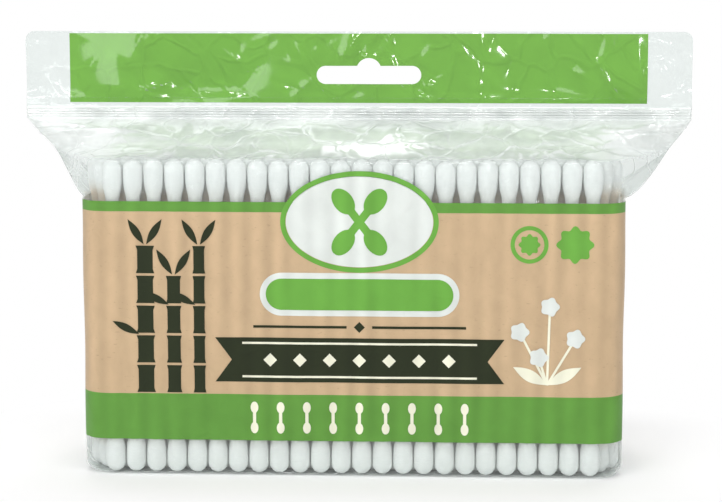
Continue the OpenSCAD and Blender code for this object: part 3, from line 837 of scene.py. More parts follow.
def painted_swab_shade(tree, coords, pitch, depth):
    """Painted shade of the film's dips between the swabs: a colour factor of faint upright darker streaks,
    one less a cosine at their pitch, whose depth drifts with soft noise."""
    across = add(tree, "ShaderNodeSeparateXYZ", {0: coords}).outputs["X"]
    turns = 2 * math.pi / pitch
    angle = add(tree, "ShaderNodeMath", {0: across, 1: turns}, operation="MULTIPLY").outputs[0]
    swing = add(tree, "ShaderNodeMath", {0: angle}, operation="COSINE").outputs[0]
    tall = add(tree, "ShaderNodeMapping", {"Vector": coords, "Scale": steps(8, 8, 34)}).outputs[0]
    drift = add(tree, "ShaderNodeTexNoise", {"Vector": tall, "Scale": 1.0, "Detail": 2.0}).outputs["Fac"]
    amount = add(
        tree,
        "ShaderNodeMapRange",
        {"Value": drift, "From Min": 0.3, "From Max": 0.65, "To Min": 0.0, "To Max": -depth},
    ).outputs["Result"]
    return add(tree, "ShaderNodeMath", {0: swing, 1: amount, 2: 1.0}, operation="MULTIPLY_ADD").outputs[0]


def clear_film(name, through, cover, roughness, shoulder_z):
    """Cast polypropylene film: nearly clear, with a thin haze that creases thicken above shoulder_z, and
    sharp wet-looking glints. It covers most where it turns away from the eye, by the fifth power."""
    material, tree, coords = start_material(name)
    normal = film_relief(tree, coords, 1.0)
    facing = add(tree, "ShaderNodeLayerWeight", {"Blend": 0.5, "Normal": normal}).outputs["Facing"]
    edge = add(tree, "ShaderNodeMath", {0: facing, 1: 5.0}, operation="POWER").outputs[0]
    soft = add(tree, "ShaderNodeMapping", {"Vector": coords, "Scale": steps(11, 11, 11)}).outputs[0]
    haze = add(tree, "ShaderNodeTexNoise", {"Vector": soft, "Scale": 1.0, "Detail": 3.0}).outputs["Fac"]
    thin, thick = 0.7 * cover, 1.3 * cover
    part = add(
        tree,
        "ShaderNodeMapRange",
        {"Value": haze, "From Min": 0.35, "From Max": 0.7, "To Min": thin, "To Max": thick},
    ).outputs["Result"]
    up = add(tree, "ShaderNodeSeparateXYZ", {0: coords}).outputs["Z"]
    milky_z = shoulder_z + 3 * MM
    creased = add(
        tree,
        "ShaderNodeMapRange",
        {"Value": up, "From Min": shoulder_z, "From Max": milky_z, "To Min": 1.0, "To Max": 6.0},
    ).outputs["Result"]
    milk = add(tree, "ShaderNodeMath", {0: part, 1: creased}, operation="MULTIPLY").outputs[0]
    share = add(
        tree, "ShaderNodeMath", {0: edge, 1: 1.6, 2: milk}, operation="MULTIPLY_ADD", use_clamp=True
    ).outputs[0]
    clear = add(tree, "ShaderNodeBsdfTransparent", {"Color": (*through, 1)}).outputs[0]
    sheen = add(
        tree,
        "ShaderNodeBsdfPrincipled",
        {"Base Color": (*linear("F4F8F6"), 1), "Metallic": 0.15, "Roughness": roughness, "Normal": normal},
    ).outputs[0]
    end_material(tree, add(tree, "ShaderNodeMixShader", {0: share, 1: clear, 2: sheen}).outputs[0])
    return material


def zip_polyethylene(colour):
    """Extruded polyethylene zip: milky and translucent, with fine lines along it from the die. They are
    drawn 0.35 mm apart, because real ones are too fine to show."""
    material, tree, coords = start_material("extruded polyethylene zip")
    drawn = add(tree, "ShaderNodeMapping", {"Vector": coords, "Scale": steps(60, 0.5, 0.35)}).outputs[0]
    lines = add(tree, "ShaderNodeTexNoise", {"Vector": drawn, "Scale": 1.0, "Detail": 2.0}).outputs["Fac"]
    normal = add(
        tree, "ShaderNodeBump", {"Strength": 0.6, "Distance": 0.06 * MM, "Height": lines}
    ).outputs["Normal"]
    share = add(
        tree,
        "ShaderNodeMapRange",
        {"Value": lines, "From Min": 0.35, "From Max": 0.65, "To Min": 0.02, "To Max": 0.13},
    ).outputs["Result"]
    clear = add(tree, "ShaderNodeBsdfTransparent", {"Color": (*colour, 1)}).outputs[0]
    milky = add(
        tree,
        "ShaderNodeBsdfPrincipled",
        {"Base Color": (*linear("EFF4F2"), 1), "Roughness": 0.3, "Normal": normal},
    ).outputs[0]
    end_material(tree, add(tree, "ShaderNodeMixShader", {0: share, 1: clear, 2: milky}).outputs[0])
    return material


def gravure_ink(name, colour, pitch, gloss=0.2, strength=0.25):
    """Gravure ink on film: a flat colour with faint cloudy mottle, under the soft gloss of the film's
    lacquer. On the label its colour is darkened in streaks at the swabs' pitch, a painted shade of the
    film's dips between them."""
    material, tree, coords = start_material(name)
    soft = add(tree, "ShaderNodeMapping", {"Vector": coords, "Scale": steps(7, 7, 7)}).outputs[0]
    cloud = add(tree, "ShaderNodeTexNoise", {"Vector": soft, "Scale": 1.0, "Detail": 5.0}).outputs["Fac"]
    shade = add(
        tree,
        "ShaderNodeMapRange",
        {"Value": cloud, "From Min": 0.3, "From Max": 0.7, "To Min": 0.95, "To Max": 1.05},
    ).outputs["Result"]
    if pitch:
        # Painted shade: the ink's colour is darkened in upright streaks at the swabs' pitch
        streaks = painted_swab_shade(tree, coords, pitch, 0.09)
        shade = add(tree, "ShaderNodeMath", {0: shade, 1: streaks}, operation="MULTIPLY").outputs[0]
    base = add(tree, "ShaderNodeVectorMath", {0: colour, "Scale": shade}, operation="SCALE").outputs[0]
    ink = add(
        tree,
        "ShaderNodeBsdfPrincipled",
        {
            "Base Color": base,
            "Roughness": 0.5,
            "Specular IOR Level": 0.1,
            "Coat Weight": gloss,
            "Coat Roughness": 0.09,
            "Normal": film_relief(tree, coords, strength),
        },
    )
    end_material(tree, ink.outputs[0])
    return material


def kraft_print(colour, pitch):
    """Brown field printed to look like kraft paper: soft clouds, small dark flecks, and a painted shade of
    the film's dips between the swabs behind it. Paper fibres are too fine to show, so the clouds and flecks
    stand for them."""
    material, tree, coords = start_material("kraft brown gravure ink")
    # Painted shade: the kraft colour is darkened in upright streaks at the swabs' pitch
    streak = painted_swab_shade(tree, coords, pitch, 0.1)
    soft = add(tree, "ShaderNodeMapping", {"Vector": coords, "Scale": steps(3, 3, 5)}).outputs[0]
    cloud = add(tree, "ShaderNodeTexNoise", {"Vector": soft, "Scale": 1.0, "Detail": 5.0}).outputs["Fac"]
    grain = add(
        tree,
        "ShaderNodeMapRange",
        {"Value": cloud, "From Min": 0.3, "From Max": 0.7, "To Min": 0.94, "To Max": 1.04},
    ).outputs["Result"]
    fine = add(tree, "ShaderNodeMapping", {"Vector": coords, "Scale": steps(1.1, 1.1, 0.5)}).outputs[0]
    fleck = add(tree, "ShaderNodeTexNoise", {"Vector": fine, "Scale": 1.0, "Detail": 3.0}).outputs["Fac"]
    spots = add(
        tree,
        "ShaderNodeMapRange",
        {"Value": fleck, "From Min": 0.64, "From Max": 0.72, "To Min": 1.0, "To Max": 0.86},
    ).outputs["Result"]
    both = add(tree, "ShaderNodeMath", {0: streak, 1: grain}, operation="MULTIPLY").outputs[0]
    shade = add(tree, "ShaderNodeMath", {0: both, 1: spots}, operation="MULTIPLY").outputs[0]
    base = add(tree, "ShaderNodeVectorMath", {0: colour, "Scale": shade}, operation="SCALE").outputs[0]
    ink = add(
        tree,
        "ShaderNodeBsdfPrincipled",
        {
            "Base Color": base,
            "Roughness": 0.5,
            "Specular IOR Level": 0.1,
            "Coat Weight": 0.25,
            "Coat Roughness": 0.15,
            "Normal": film_relief(tree, coords, 0.25),
        },
    )
    end_material(tree, ink.outputs[0])
    return material


def cotton_wool(colour, stick):
    """Bleached cotton wool wound on a stick: quite matt, with soft fibres that scatter the light inside the
    bud. The attribute "thin" says where it is so thin that the stick's colour shows through. Fibres are
    0.02 mm thick, too fine to show, so they are drawn as windings and tufts 0.4 to 1.4 mm long."""
    material, tree, coords = start_material("bleached cotton wool")
    turns = add(tree, "ShaderNodeMapping", {"Vector": coords, "Scale": steps(1.4, 1.4, 0.4)}).outputs[0]
    wound = add(tree, "ShaderNodeTexNoise", {"Vector": turns, "Scale": 1.0, "Detail": 4.0}).outputs["Fac"]
    fine = add(tree, "ShaderNodeMapping", {"Vector": coords, "Scale": steps(0.45, 0.45, 0.45)}).outputs[0]
    tuft = add(tree, "ShaderNodeTexNoise", {"Vector": fine, "Scale": 1.0, "Detail": 4.0}).outputs["Fac"]
    height = add(
        tree, "ShaderNodeMath", {0: tuft, 1: 0.6, 2: wound}, operation="MULTIPLY_ADD"
    ).outputs[0]
    # Painted shade: the colour is up to 5% darker where the windings' bump is low, in their grooves
    shade = add(
        tree,
        "ShaderNodeMapRange",
        {"Value": wound, "From Min": 0.3, "From Max": 0.7, "To Min": 0.95, "To Max": 1.0},
    ).outputs["Result"]
    white = add(tree, "ShaderNodeVectorMath", {0: colour, "Scale": shade}, operation="SCALE").outputs[0]
    thin = add(tree, "ShaderNodeAttribute", attribute_name="thin").outputs["Fac"]
    base = add(tree, "ShaderNodeMix", {0: thin, 6: white, 7: (*stick, 1)}, data_type="RGBA").outputs[2]
    normal = add(
        tree, "ShaderNodeBump", {"Strength": 0.8, "Distance": 0.12 * MM, "Height": height}
    ).outputs["Normal"]
    wool = add(
        tree,
        "ShaderNodeBsdfPrincipled",
        {
            "Base Color": base,
            "Roughness": 1.0,
            "Specular IOR Level": 0.2,
            "Sheen Weight": 0.2,
            "Subsurface Weight": 0.7,
            "Subsurface Radius": (1, 1, 1),
            "Subsurface Scale": 1.6 * MM,
            "Normal": normal,
        },
    )
    end_material(tree, wool.outputs[0])
    return material


def split_bamboo(pale, grain):
    """Planed bamboo: straight fibres along the stick, some darker, and a dry satin face. The fibres are
    drawn 0.5 mm wide, about twice as wide as real ones, so that they show."""
    material, tree, coords = start_material("planed bamboo")
    drawn = add(tree, "ShaderNodeMapping", {"Vector": coords, "Scale": steps(0.5, 0.5, 26)}).outputs[0]
    fibre = add(tree, "ShaderNodeTexNoise", {"Vector": drawn, "Scale": 1.0, "Detail": 5.0}).outputs["Fac"]
    dark = add(
        tree,
        "ShaderNodeMapRange",
        {"Value": fibre, "From Min": 0.48, "From Max": 0.72, "To Min": 0.0, "To Max": 0.8},
    ).outputs["Result"]
    base = add(
        tree, "ShaderNodeMix", {0: dark, 6: (*pale, 1), 7: (*grain, 1)}, data_type="RGBA"
    ).outputs[2]
    normal = add(
        tree, "ShaderNodeBump", {"Strength": 0.5, "Distance": 0.05 * MM, "Height": fibre}
    ).outputs["Normal"]
    wood = add(
        tree, "ShaderNodeBsdfPrincipled", {"Base Color": base, "Roughness": 0.62, "Normal": normal}
    )
    end_material(tree, wood.outputs[0])
    return material


def background_rays(tree):
    """Factor of 1 for the rays that show the background: to the camera, off gloss and through glass."""
    path = add(tree, "ShaderNodeLightPath").outputs
    seen = path["Is Camera Ray"]
    for kind in ("Is Glossy Ray", "Is Transmission Ray"):
        seen = add(tree, "ShaderNodeMath", {0: seen, 1: path[kind]}, operation="MAXIMUM").outputs[0]
    return seen


def studio_paper():
    """Matt white paper sweep: it takes the object's shadow near it and runs out to plain white further off.
    The distance is that from a rectangle a little smaller than the pouch's foot."""
    material, tree, coords = start_material("white paper sweep")
    wide = add(tree, "ShaderNodeMapping", {"Vector": coords, "Scale": steps(30, 30, 30)}).outputs[0]
    cloud = add(tree, "ShaderNodeTexNoise", {"Vector": wide, "Scale": 1.0, "Detail": 4.0}).outputs["Fac"]
    shade = add(
        tree, "ShaderNodeMapRange", {"Value": cloud, "To Min": 0.93, "To Max": 0.95}
    ).outputs["Result"]
    base = add(tree, "ShaderNodeCombineXYZ", {0: shade, 1: shade, 2: shade}).outputs[0]
    paper = add(
        tree,
        "ShaderNodeBsdfPrincipled",
        {"Base Color": base, "Roughness": 0.95, "Specular IOR Level": 0.1},
    ).outputs[0]
    white = add(tree, "ShaderNodeEmission", {"Color": (1, 1, 1, 1), "Strength": 1.0}).outputs[0]
    foot = (60 * MM, 22 * MM, 1)
    flat = add(tree, "ShaderNodeVectorMath", {0: coords}, operation="ABSOLUTE").outputs[0]
    beyond = add(tree, "ShaderNodeVectorMath", {0: flat, 1: foot}, operation="SUBTRACT").outputs[0]
    outside = add(tree, "ShaderNodeVectorMath", {0: beyond, 1: (0, 0, 0)}, operation="MAXIMUM").outputs[0]
    away = add(tree, "ShaderNodeVectorMath", {0: outside}, operation="LENGTH").outputs["Value"]
    far = add(
        tree,
        "ShaderNodeMapRange",
        {"Value": away, "From Min": -5 * MM, "From Max": 45 * MM},
        interpolation_type="SMOOTHSTEP",
    ).outputs["Result"]
    rays = background_rays(tree)
    share = add(tree, "ShaderNodeMath", {0: far, 1: rays}, operation="MULTIPLY").outputs[0]
    end_material(tree, add(tree, "ShaderNodeMixShader", {0: share, 1: paper, 2: white}).outputs[0])
    return material


# Operators


class BAG_OT_pouch_film(Operator):
    """Film of the pouch: flat base, front, back, wings, shoulder and zip line."""

    bl_idname = "bag.pouch_film"
    bl_label = "Pouch film"

    def execute(self, context):
        bag = context.scene.swab_pouch
        m = measures(bag)
        points, faces = pouch_mesh(m)
        film = clear_film("cast polypropylene film", bag.pouch.film, 0.11, 0.12, m.tips_z - MM)
        make_piece("pouch_film", points, faces, film, "film", "bag_film", merge=False)
        return {"FINISHED"}


class BAG_OT_header_film(Operator):
    """Film of the flat header, with rounded top corners and the hang slot."""

    bl_idname = "bag.header_film"
    bl_label = "Header film"

    def execute(self, context):
        bag = context.scene.swab_pouch
        m = measures(bag)
        points, tris = filled([header_outline(m), slot_outline(m)], HEADER_MESH)
        t = bag.pouch.film_t
        points, faces = shell(m, points, tris, on_header, t, -t)
        film = clear_film("welded polypropylene film", bag.pouch.film, 0.14, 0.1, m.top_z)
        make_piece("header_film", points, faces, film, "film", "bag_film", sharp=PLATE_EDGE)
        return {"FINISHED"}


def header_outline(m):
    """Header: upright sides and a flat top joined by quarter rounds."""
    p = m.pouch
    a = np.linspace(0, np.pi / 2, 13)
    x = m.head_w - p.header_r * (1 - np.cos(a))
    z = m.top_z - p.header_r * (1 - np.sin(a))
    right = np.vstack([[m.head_w, m.head_z], np.column_stack([x, z])])
    return np.vstack([right, (right * [-1, 1])[::-1]])


def slot_outline(m):
    """Hang slot: a long hole with half-round ends and a shallow round bump over its middle."""
    p = m.pouch
    r, reach = p.slot_h / 2, (p.slot_w - p.slot_h) / 2
    bump_r = p.bump_w / 2
    bump_z = r + p.bump_h - bump_r
    side = math.asin((r - bump_z) / bump_r)
    end = np.linspace(-np.pi / 2, np.pi / 2, 17)
    over = np.linspace(side, np.pi - side, 25)
    right = np.column_stack([reach + r * np.cos(end), r * np.sin(end)])
    bump = np.column_stack([bump_r * np.cos(over), bump_z + bump_r * np.sin(over)])
    left = np.column_stack([-reach - r * np.cos(end), -r * np.sin(end)])
    return np.vstack([right, bump, left]) + [p.slot_shift, m.slot_z]


class BAG_OT_zip_strips(Operator):
    """Finish of the two zip strips, which keep their solids."""

    bl_idname = "bag.zip_strips"
    bl_label = "Zip strips"

    def execute(self, context):
        material = zip_polyethylene(linear("FDFEFE"))
        for node in ("zip_groove_strip", "zip_rib_strip"):
            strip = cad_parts[node]
            strip.data.materials.clear()
            strip.data.materials.append(material)
        return {"FINISHED"}


class BAG_OT_cotton_buds(Operator):
    """Cotton buds on both ends of every swab, pressed a little wide in the row and uneven in height."""

    bl_idname = "bag.cotton_buds"
    bl_label = "Cotton buds"

    def execute(self, context):
        bag = context.scene.swab_pouch
        m = measures(bag)
        s = bag.swabs
        places, short = swab_places(m)
        rng = np.random.default_rng(9)
        stick_r, full = s.stick_d / 2, s.bud_d / 2
        # Rings of a bud: on its half-round tip, along its swell, down its taper and where it ends
        tip = full * np.array([0.1, 0.36, 0.68, 0.93])
        taper = np.array([0.35, 0.7, 1])
        height = np.concatenate(
            [
                full * (1 - np.sqrt(1 - (tip / full) ** 2)),
                [full, 0.55 * (full + s.swell_l), s.swell_l],
                s.swell_l + (s.taper_l - s.swell_l) * taper,
                [s.bud_l - 0.2 * MM, s.bud_l],
            ]
        )
        neck, end = stick_r + s.neck_t, stick_r + s.end_t
        fall = full + (neck - full) * ease(taper)
        radius = np.concatenate([tip, [full, full, full * 0.992], fall, [end, stick_r * 0.98]])
        sides = 14
        a = np.linspace(0, 2 * np.pi, sides, endpoint=False)
        material = cotton_wool(s.cotton, s.neck)
        # The stick's colour shows more towards the neck, and little on the front row
        front = np.arange(len(places)) < m.counts[0]
        bare = 0.55 * ease((height - 5.6 * MM) / (4 * MM))
        thin = np.where(front, 0.15, 1)[:, None, None] * bare[None, :, None] * np.ones(sides)
        thin = np.concatenate([thin.reshape(len(places), -1), thin[:, [0, -1], 0]], 1)
        nodes = [f"row_{k + 1:02d}_cotton_buds" for k in range(s.row_total)]
        for name, upper in (("cotton_buds_bottom", False), ("cotton_buds_top", True)):
            # Buds are pressed wide in the row, and three faint lumps wind up them
            phase = rng.uniform(0, 2 * np.pi, (len(places), 1, 1))
            lumps = 0.014 * np.cos(2 * a) + 0.004 * np.sin(3 * a - 2 * phase + 500 * height[:, None])
            slim = rng.uniform(0.985, 1, (len(places), 1, 1))
            radii = radius[None, :, None] * slim * (1 + lumps)
            tips = np.broadcast_to(height, (len(places), len(height)))
            if upper:
                tips = s.length - short[:, None] - tips
            points, faces = lathed(places, tips, radii)
            made = make_piece(name, points, faces, material, "cotton", *nodes, merge=False)
            made.data.attributes.new("thin", "FLOAT", "POINT").data.foreach_set("value", thin.ravel())
        return {"FINISHED"}


class BAG_OT_bamboo_sticks(Operator):
    """Bamboo sticks, which end inside the cotton."""

    bl_idname = "bag.bamboo_sticks"
    bl_label = "Bamboo sticks"

    def execute(self, context):
        bag = context.scene.swab_pouch
        m = measures(bag)
        s = bag.swabs
        places, short = swab_places(m)
        inside = s.tip_cover + 0.1 * MM
        low = np.full(len(places), inside)
        high = s.length - inside - short
        heights = low[:, None] + (high - low)[:, None] * np.array([0, 0.5, 1])
        radii = np.full((len(places), 3, 12), s.stick_d / 2)
        points, faces = lathed(places, heights, radii)
        nodes = [f"row_{k + 1:02d}_sticks" for k in range(s.row_total)]
        material = split_bamboo(s.bamboo, s.bamboo_grain)
        make_piece(
            "bamboo_sticks", points, faces, material, "bamboo", *nodes, merge=False, sharp=STICK_EDGE
        )
        return {"FINISHED"}


class BAG_OT_header_print(Operator):
    """Green field printed across the header, open at the hang slot."""

    bl_idname = "bag.header_print"
    bl_label = "Header print"

    def execute(self, context):
        bag = context.scene.swab_pouch
        m = measures(bag)
        q = bag.label
        w = 2 * (m.head_w - q.header_side)
        low, high = m.head_z + q.header_foot, m.top_z - q.header_head
        field = placed(loop_box(w, high - low), 0, (low + high) / 2)
        points, tris = filled([field, slot_outline(m)], HEADER_MESH)
        off = bag.pouch.film_t + q.ink_step
        points, faces = shell(m, points, tris, on_header, off, off - q.ink_step / 2)
        ink = gravure_ink("header green gravure ink", q.header_green, None, gloss=1.0, strength=1.0)
        make_piece("header_print", points, faces, ink, "header_green", "ink_header", sharp=PLATE_EDGE)
        return {"FINISHED"}


class BAG_OT_label_fields(Operator):
    """Brown field and green bands round the front of the pouch."""

    bl_idname = "bag.label_fields"
    bl_label = "Label fields"

    def execute(self, context):
        bag = context.scene.swab_pouch
        m = measures(bag)
        q = bag.label
        points, faces = label_strip(m, m.band_top, m.stripe_z)
        kraft = kraft_print(q.kraft, m.pitch)
        make_piece(
            "kraft_field", points, faces, kraft, "kraft_brown", "ink_kraft_field", sharp=PLATE_EDGE
        )
        bands = ((q.label_z, m.band_top), (m.stripe_z, m.label_top))
        points, faces = joined([label_strip(m, low, high) for low, high in bands])
        ink = gravure_ink("band green gravure ink", q.band_green, m.pitch)
        make_piece(
            "green_bands",
            points,
            faces,
            ink,
            "band_green",
            "ink_green_bands",
            merge=False,
            sharp=PLATE_EDGE,
        )
        return {"FINISHED"}


def figure_places(m):
    """Centres of the printed figures across and up, the puffs from the foot of the sprig. A cane is its
    place across in mm, its share of the field's height, its width in mm and the joint of its low leaf."""
    q = m.label
    at = SimpleNamespace(x=2 * MM, halo=1.4 * MM, gap=0.1 * MM)
    at.badge = m.badge_top - m.badge_h / 2
    at.plate = at.badge - m.badge_h / 2 - at.gap - at.halo - m.plate_h / 2
    at.ribbon = m.band_top + 3 * MM + m.ribbon_h / 2
    at.rule = (at.plate - m.plate_h / 2 - at.halo + at.ribbon + m.ribbon_h / 2) / 2
    at.band = q.label_z + q.band_h / 2
    at.seal_x, at.seal = 41.6 * MM, m.stripe_z - 7.25 * MM
    at.next_seal = at.seal_x + 10.6 * MM
    at.sprig_x, at.sprig = 46 * MM, m.band_top + 2.9 * MM
    at.puffs = np.array([[-6.5, 12.5], [0.5, 18.5], [6.5, 11], [-2, 6.5]]) * MM
    at.canes = [[-48.4, 0.86, 4.4, 2], [-41.7, 0.7, 3.6, 3], [-35.7, 0.83, 3, 3]]
    at.joint = 7.1 * MM
    return at


def single(loop, x, z, layer, degrees=0.0):
    """Figure of one loop: turned, moved to its place and given its layer of ink."""
    return [placed(loop, x, z, degrees)], layer


def white_figures(m, at):
    """Field of the badge, halo of the nameplate and puffs of the sprig."""
    q = m.label
    line = 2 * (q.badge_line + at.gap)
    field = loop_oval(q.badge_w - line, m.badge_h - line, 128)
    halo = loop_pill(q.plate_w + 2 * at.halo, m.plate_h + 2 * at.halo)
    shapes = [single(field, at.x, at.badge, 2), single(halo, at.x, at.plate, 2)]
    for x, z in at.puffs:
        shapes.append(single(loop_rosette(4.6 * MM, 5), at.sprig_x + x, at.sprig + z, 4))
    return shapes


def green_figures(m, at):
    """Line round the badge, crossed swabs, nameplate and seals."""
    q = m.label
    ring = []
    for line in (0, 2 * q.badge_line):
        ring.append(placed(loop_oval(q.badge_w - line, m.badge_h - line, 128), at.x, at.badge))
    seal = [placed(loop_oval(k * q.seal_d, k * q.seal_d), at.seal_x, at.seal) for k in (1, 0.78)]
    return [
        (ring, 2),
        single(loop_swab(17 * MM), at.x, at.badge, 3, -38),
        single(loop_swab(17 * MM), at.x, at.badge, 3, 38),
        single(loop_pill(q.plate_w, m.plate_h), at.x, at.plate, 3),
        (seal, 2),
        single(loop_rosette(0.58 * q.seal_d, 8), at.seal_x, at.seal, 2),
        single(loop_rosette(q.seal_d, 8), at.next_seal, at.seal, 2),
    ]


def dark_figures(m, at):
    """Ribbon with notched ends, rule with a diamond, and jointed canes with leaves."""
    q = m.label
    w, h, n = q.ribbon_w / 2, m.ribbon_h / 2, q.ribbon_notch
    ribbon = np.array([[-w, -h], [w, -h], [w - n, 0], [w, h], [-w, h], [-w + n, 0]])
    shapes = [
        single(ribbon, at.x, at.ribbon, 2),
        single(loop_diamond(2.6 * MM), at.x, at.rule, 2),
    ]
    for side in (-1, 1):
        shapes.append(single(loop_box(22 * MM, 0.6 * MM), at.x + side * 14 * MM, at.rule, 2))
    leaf = loop_leaf(7 * MM, 1.8 * MM)
    for x, share, width, low in at.canes:
        x, width = x * MM, width * MM
        joints = int(share * (m.stripe_z - m.band_top) // at.joint)
        for i in range(joints):
            shapes.append(single(loop_cane(width, at.joint), x, m.band_top + i * at.joint, 2))
        head = m.band_top + joints * at.joint
        low_z = m.band_top + low * at.joint
        shapes.append(single(leaf, x + 0.3 * MM, head, 2, 58))
        shapes.append(single(leaf, x - 0.3 * MM, head, 2, 122))
        shapes.append(single(leaf, x - width / 2 + 0.6 * MM, low_z, 2, 154))
    return shapes


def cream_figures(m, at):
    """Lines and diamonds on the ribbon, a row of swabs on the lower band, and the stems and leaves of the
    sprig."""
    q = m.label
    shapes = []
    line = q.ribbon_w - 2 * q.ribbon_notch - 5 * MM
    for side in (-1, 1):
        up = at.ribbon + side * (m.ribbon_h / 2 - 1.3 * MM)
        shapes.append(single(loop_box(line, 0.5 * MM), at.x, up, 3))
    for i in range(-3, 4):
        shapes.append(single(loop_diamond(3.2 * MM), at.x + 7 * MM * i, at.ribbon, 3))
    for i in range(-4, 5):
        shapes.append(single(loop_swab(6.8 * MM), at.x + 6.2 * MM * i, at.band, 2))
    for x, z in at.puffs:
        stem = loop_box(math.hypot(x, z), 0.55 * MM) + [math.hypot(x, z) / 2, 0]
        lean = math.degrees(math.atan2(z, x))
        shapes.append(single(stem, at.sprig_x, at.sprig, 2, lean))
    for turn in (28, 152):
        shapes.append(single(loop_leaf(9 * MM, 2.8 * MM), at.sprig_x, at.sprig, 2, turn))
    return shapes


class BAG_OT_label_figures(Operator):
    """Badge, nameplate, ribbon, seals, canes and sprig on the label, one piece an ink."""

    bl_idname = "bag.label_figures"
    bl_label = "Label figures"

    def execute(self, context):
        bag = context.scene.swab_pouch
        m = measures(bag)
        q = bag.label
        at = figure_places(m)
        inks = (
            ("white_figures", white_figures, "white", q.white, "ink_white", "ink_white"),
            ("green_figures", green_figures, "leaf green", q.leaf_green, "leaf_green", "ink_leaf_green"),
            ("dark_figures", dark_figures, "dark green", q.dark_green, "ink_dark", "ink_dark_green"),
            ("cream_figures", cream_figures, "cream", q.cream, "ink_cream", "ink_cream"),
        )
        for name, shapes, hue, colour, slot, node in inks:
            points, faces = figures(m, shapes(m, at))
            ink = gravure_ink(f"{hue} gravure ink", colour, m.pitch)
            make_piece(name, points, faces, ink, slot, node, merge=False, sharp=PLATE_EDGE)
        return {"FINISHED"}


def lay_paper():
    """Paper sweep: a level sheet, a quarter turn with a radius of 0.35 m and an upright wall, carried
    across in even steps."""
    turn = np.linspace(0, np.pi / 2, 25)
    depth = np.concatenate([[-1.6], 0.5 + 0.35 * np.sin(turn), [0.85]])
    up = np.concatenate([[0], 0.35 * (1 - np.cos(turn)), [1.8]]) - 0.15 * MM
    across = np.linspace(-2.2, 2.2, 9)
    columns = len(across)
    rows = np.stack([np.tile(across, len(depth)), depth.repeat(columns), up.repeat(columns)], 1)
    index = np.arange(len(rows)).reshape(-1, columns)
    quads = np.stack([index[:-1, :-1], index[:-1, 1:], index[1:, 1:], index[1:, :-1]], 2)
    mesh = bpy.data.meshes.new("paper_sweep")
    mesh.from_pydata(rows.tolist(), [], quads.reshape(-1, 4).tolist())
    mesh.shade_smooth()
    sweep = bpy.data.objects.new("paper_sweep", mesh)
    sweep.data.materials.append(studio_paper())
    bpy.context.scene.collection.objects.link(sweep)


def soft_box(name, place, width, height, watts):
    """Area lamp that faces the middle of the pouch."""
    data = bpy.data.lights.new(name, "AREA")
    data.shape = "RECTANGLE"
    data.size, data.size_y, data.energy = width, height, watts
    lamp = bpy.data.objects.new(name, data)
    lamp.location = place
    middle = Vector((0, 0, 0.055))
    lamp.rotation_euler = (middle - Vector(place)).to_track_quat("-Z", "Y").to_euler()
    bpy.context.scene.collection.objects.link(lamp)


def light_room(strength):
    """Even light of the room, which the background shows as white."""
    world = bpy.data.worlds.new("room light")
    world.use_nodes = True
    tree = world.node_tree
    tree.nodes.clear()
    white = (1, 1, 1, 1)
    room = add(tree, "ShaderNodeBackground", {"Color": white, "Strength": strength}).outputs[0]
    shown = add(tree, "ShaderNodeBackground", {"Color": white, "Strength": 1.0}).outputs[0]
    mixed = add(tree, "ShaderNodeMixShader", {0: background_rays(tree), 1: room, 2: shown}).outputs[0]
    add(tree, "ShaderNodeOutputWorld", {"Surface": mixed})
    bpy.context.scene.world = world


def place_camera(studio):
    """Camera on a sphere round its target, at the azimuth and elevation, looking at the target."""
    data = bpy.data.cameras.new("camera")
    data.lens, data.sensor_width = studio.lens, 36
    data.clip_start, data.clip_end = 0.01, 20
    camera = bpy.data.objects.new("camera", data)
    level, turn = studio.elevation, studio.azimuth
    away = Vector(
        (math.sin(turn) * math.cos(level), -math.cos(turn) * math.cos(level), math.sin(level))
    )
    camera.location = Vector((studio.aim_x, 0, studio.aim_z)) + away * studio.distance
    camera.rotation_euler = (-away).to_track_quat("-Z", "Y").to_euler()
    bpy.context.scene.collection.objects.link(camera)
    bpy.context.scene.camera = camera


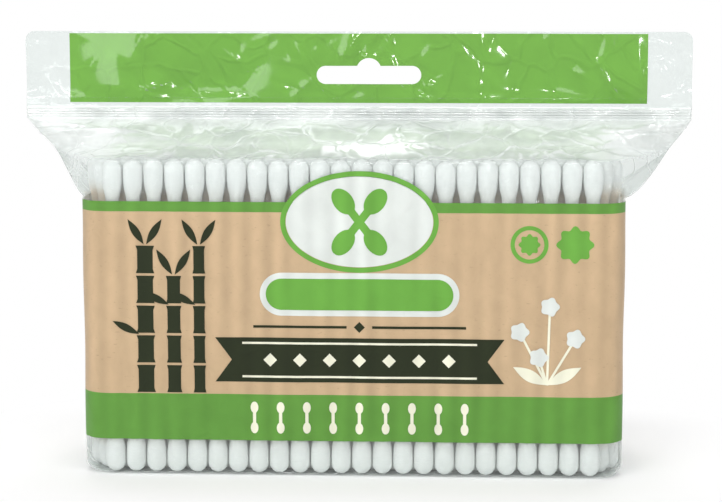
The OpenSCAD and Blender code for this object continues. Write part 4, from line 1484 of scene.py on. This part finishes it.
class BAG_OT_studio(Operator):
    """White paper sweep, soft boxes, even room light and the camera."""

    bl_idname = "bag.studio"
    bl_label = "Studio"

    def execute(self, context):
        studio = context.scene.swab_pouch.studio
        lay_paper()
        lamps = (
            ("key_box", (-0.55, -0.75, 0.62), 0.5, 0.4, studio.key),
            ("left_strip", (-0.85, -0.35, 0.22), 0.08, 0.6, studio.fill),
            ("right_strip", (0.8, -0.5, 0.3), 0.08, 0.6, studio.fill),
            ("top_strip", (0, -0.35, 0.85), 0.9, 0.12, studio.top),
            ("back_box", (0, 0.62, 0.7), 1.0, 0.5, studio.back),
            ("front_box", (-0.32, -0.95, 0.26), 0.35, 0.25, studio.front),
            ("left_glint", (-0.3, -0.8, 0.5), 0.06, 0.06, studio.glint),
            ("middle_glint", (0.02, -0.9, 0.42), 0.06, 0.06, studio.glint),
            ("right_glint", (0.35, -0.85, 0.22), 0.06, 0.06, studio.glint),
        )
        for lamp in lamps:
            soft_box(*lamp)
        light_room(studio.sky)
        place_camera(studio)
        context.scene.view_settings.view_transform = "Standard"
        return {"FINISHED"}


OPERATORS = (
    BAG_OT_bamboo_sticks,
    BAG_OT_cotton_buds,
    BAG_OT_zip_strips,
    BAG_OT_pouch_film,
    BAG_OT_header_film,
    BAG_OT_header_print,
    BAG_OT_label_fields,
    BAG_OT_label_figures,
    BAG_OT_studio,
)


class BAG_PT_pieces(Panel):
    """Pieces of the pouch in the order they are built."""

    bl_label = "Swab pouch"
    bl_idname = "BAG_PT_pieces"
    bl_space_type = "VIEW_3D"
    bl_region_type = "UI"
    bl_category = "Swab pouch"

    def draw(self, context):
        for operator in OPERATORS:
            self.layout.operator(operator.bl_idname)


CLASSES = (SwabSizes, PouchSizes, PrintSizes, StudioSettings, BagSettings, *OPERATORS, BAG_PT_pieces)


def register():
    for each in CLASSES:
        bpy.utils.register_class(each)
    bpy.types.Scene.swab_pouch = PointerProperty(type=BagSettings)


def unregister():
    del bpy.types.Scene.swab_pouch
    for each in reversed(CLASSES):
        bpy.utils.unregister_class(each)


def main():
    """Builds every piece."""
    register()
    bpy.ops.bag.bamboo_sticks()
    bpy.ops.bag.cotton_buds()
    bpy.ops.bag.zip_strips()
    bpy.ops.bag.pouch_film()
    bpy.ops.bag.header_film()
    bpy.ops.bag.header_print()
    bpy.ops.bag.label_fields()
    bpy.ops.bag.label_figures()
    bpy.ops.bag.studio()


if __name__ == "__main__":
    main()
